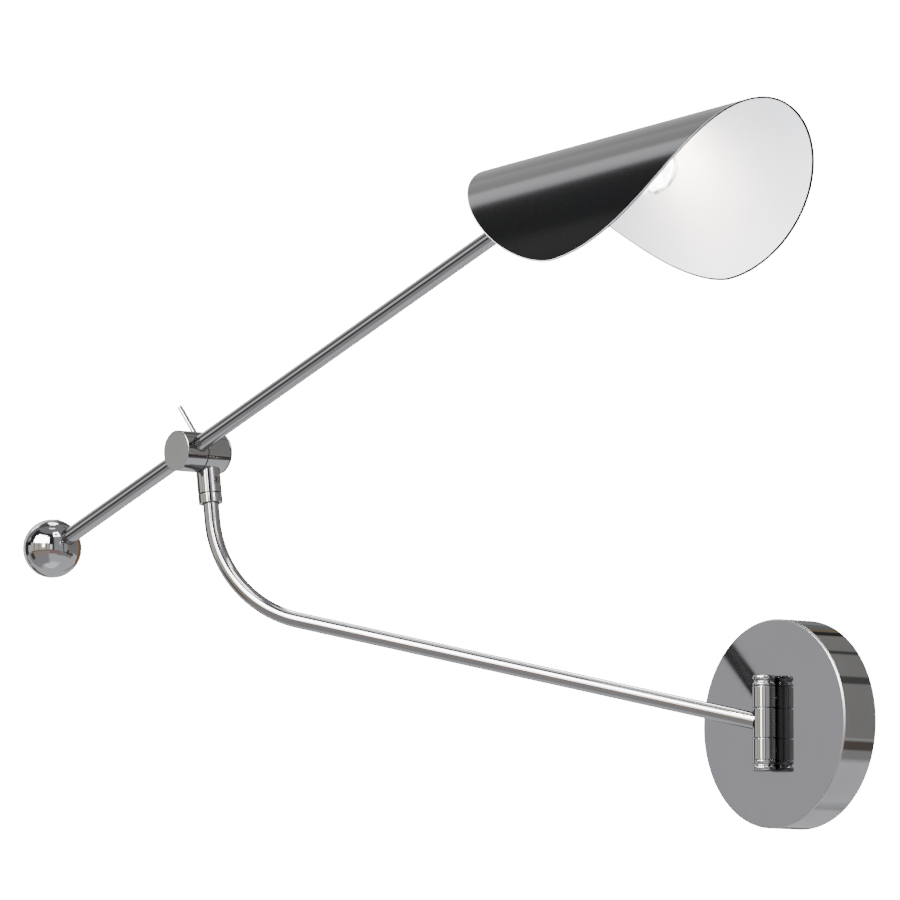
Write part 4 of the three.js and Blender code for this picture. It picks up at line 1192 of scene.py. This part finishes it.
def room():
    """The world: soft even light for matt surfaces, panels for mirrors, and white for the camera."""
    world = bpy.data.worlds.new("room")
    world.use_nodes = True
    bpy.context.scene.world = world
    nodes = world.node_tree.nodes
    links = world.node_tree.links

    def math_node(operation, *values):
        made = nodes.new("ShaderNodeMath")
        made.operation = operation
        for socket, value in zip(made.inputs, values):
            if isinstance(value, (int, float)):
                socket.default_value = value
            else:
                links.new(value, socket)
        return made.outputs[0]

    coordinates = nodes.new("ShaderNodeTexCoord")
    aligned = nodes.new("ShaderNodeVectorRotate")
    aligned.rotation_type = "Z_AXIS"
    aligned.inputs["Angle"].default_value = -math.radians(CAMERA_AZIMUTH)
    links.new(coordinates.outputs["Generated"], aligned.inputs["Vector"])
    split = nodes.new("ShaderNodeSeparateXYZ")
    links.new(aligned.outputs["Vector"], split.inputs[0])
    towards = math_node("MULTIPLY", split.outputs["Y"], -1.0)
    azimuth = math_node("MULTIPLY", math_node("ARCTAN2", split.outputs["X"], towards), 180 / math.pi)
    elevation = math_node("MULTIPLY", math_node("ARCSINE", split.outputs["Z"]), 180 / math.pi)

    def edge(value, low, high):
        made = nodes.new("ShaderNodeMapRange")
        made.interpolation_type = "SMOOTHSTEP"
        made.inputs["From Min"].default_value = low
        made.inputs["From Max"].default_value = high
        links.new(value, made.inputs["Value"])
        return made.outputs["Result"]

    def between(value, low, high, soft):
        rises = edge(value, low - soft / 2, low + soft / 2)
        falls = edge(value, high + soft / 2, high - soft / 2)
        return math_node("MULTIPLY", rises, falls)

    colour = None
    for name, azimuths, elevations, soft, tone in ROOM:
        mask = math_node(
            "MULTIPLY", between(azimuth, *azimuths, soft), between(elevation, *elevations, soft)
        )
        layer = nodes.new("ShaderNodeMix")
        layer.data_type = "RGBA"
        layer.label = name
        links.new(mask, layer.inputs["Factor"])
        if colour is None:
            layer.inputs[6].default_value = (*ROOM_BASE, 1)
        else:
            links.new(colour, layer.inputs[6])
        layer.inputs[7].default_value = (*tone, 1) if isinstance(tone, tuple) else (tone, tone, tone, 1)
        colour = layer.outputs[2]

    def background(tone, strength):
        made = nodes.new("ShaderNodeBackground")
        made.inputs["Strength"].default_value = strength
        if isinstance(tone, tuple):
            made.inputs["Color"].default_value = (*tone, 1)
        else:
            links.new(tone, made.inputs["Color"])
        return made.outputs["Background"]

    def choose(choice, otherwise, chosen):
        made = nodes.new("ShaderNodeMixShader")
        for socket, source in zip(made.inputs, (choice, otherwise, chosen)):
            links.new(source, socket)
        return made.outputs["Shader"]

    path = nodes.new("ShaderNodeLightPath").outputs
    limited = nodes.new("ShaderNodeVectorMath")
    limited.operation = "MINIMUM"
    limited.inputs[1].default_value = (SECOND_LIMIT, SECOND_LIMIT, SECOND_LIMIT)
    links.new(colour, limited.inputs[0])
    second = background(limited.outputs["Vector"], SECOND_MIRROR)
    seen_twice = math_node("GREATER_THAN", path["Glossy Depth"], 1.5)
    shader = choose(seen_twice, background(colour, 1.0), second)
    shader = choose(path["Is Diffuse Ray"], shader, background(SOFT_LIGHT, 1.0))
    shader = choose(path["Is Camera Ray"], shader, background((1, 1, 1), BACKGROUND))
    links.new(shader, nodes["World Output"].inputs["Surface"])


def floor():
    """A plain pale floor, well below the lamp, that the chrome doesn't mirror."""
    size = 6.0
    drop = 0.6
    corners = [(-size, -size, 0), (size, -size, 0), (size, size, 0), (-size, size, 0)]
    mesh = bpy.data.meshes.new("floor")
    mesh.from_pydata(corners, [], [[0, 1, 2, 3]])
    made = object_of("floor", mesh)
    made.location.z = -drop
    look = Look("floor", roughness=0.8)
    look.tint(look.noise(3), (0.30, 0.30, 0.30), (0.32, 0.32, 0.32))
    mesh.materials.append(look.material)
    made.visible_glossy = False


camera()
room()
floor()

wall_pieces()
bracket_piece()
wall_inside_pieces()
hinge_pieces()
arm_pieces()
tee_pieces()
lever_pieces()
boom_pieces()
shade_piece()
shade_fixing_pieces()
knuckle_pieces()
socket_pieces()
bulb_pieces()

def carry_over():
    """CAD nodes that still show get their slot's material and softened edges."""
    slots = {part["node"]: part["material_slot"] for part in frame["record"]["subparts"]}
    for name, node in frame["nodes"].items():
        if node.hide_render:
            continue
        node.data.materials.clear()
        node.data.materials.append(SLOT_LOOKS[slots[name]])
        soften(node, 0.15 * MM)


carry_over()
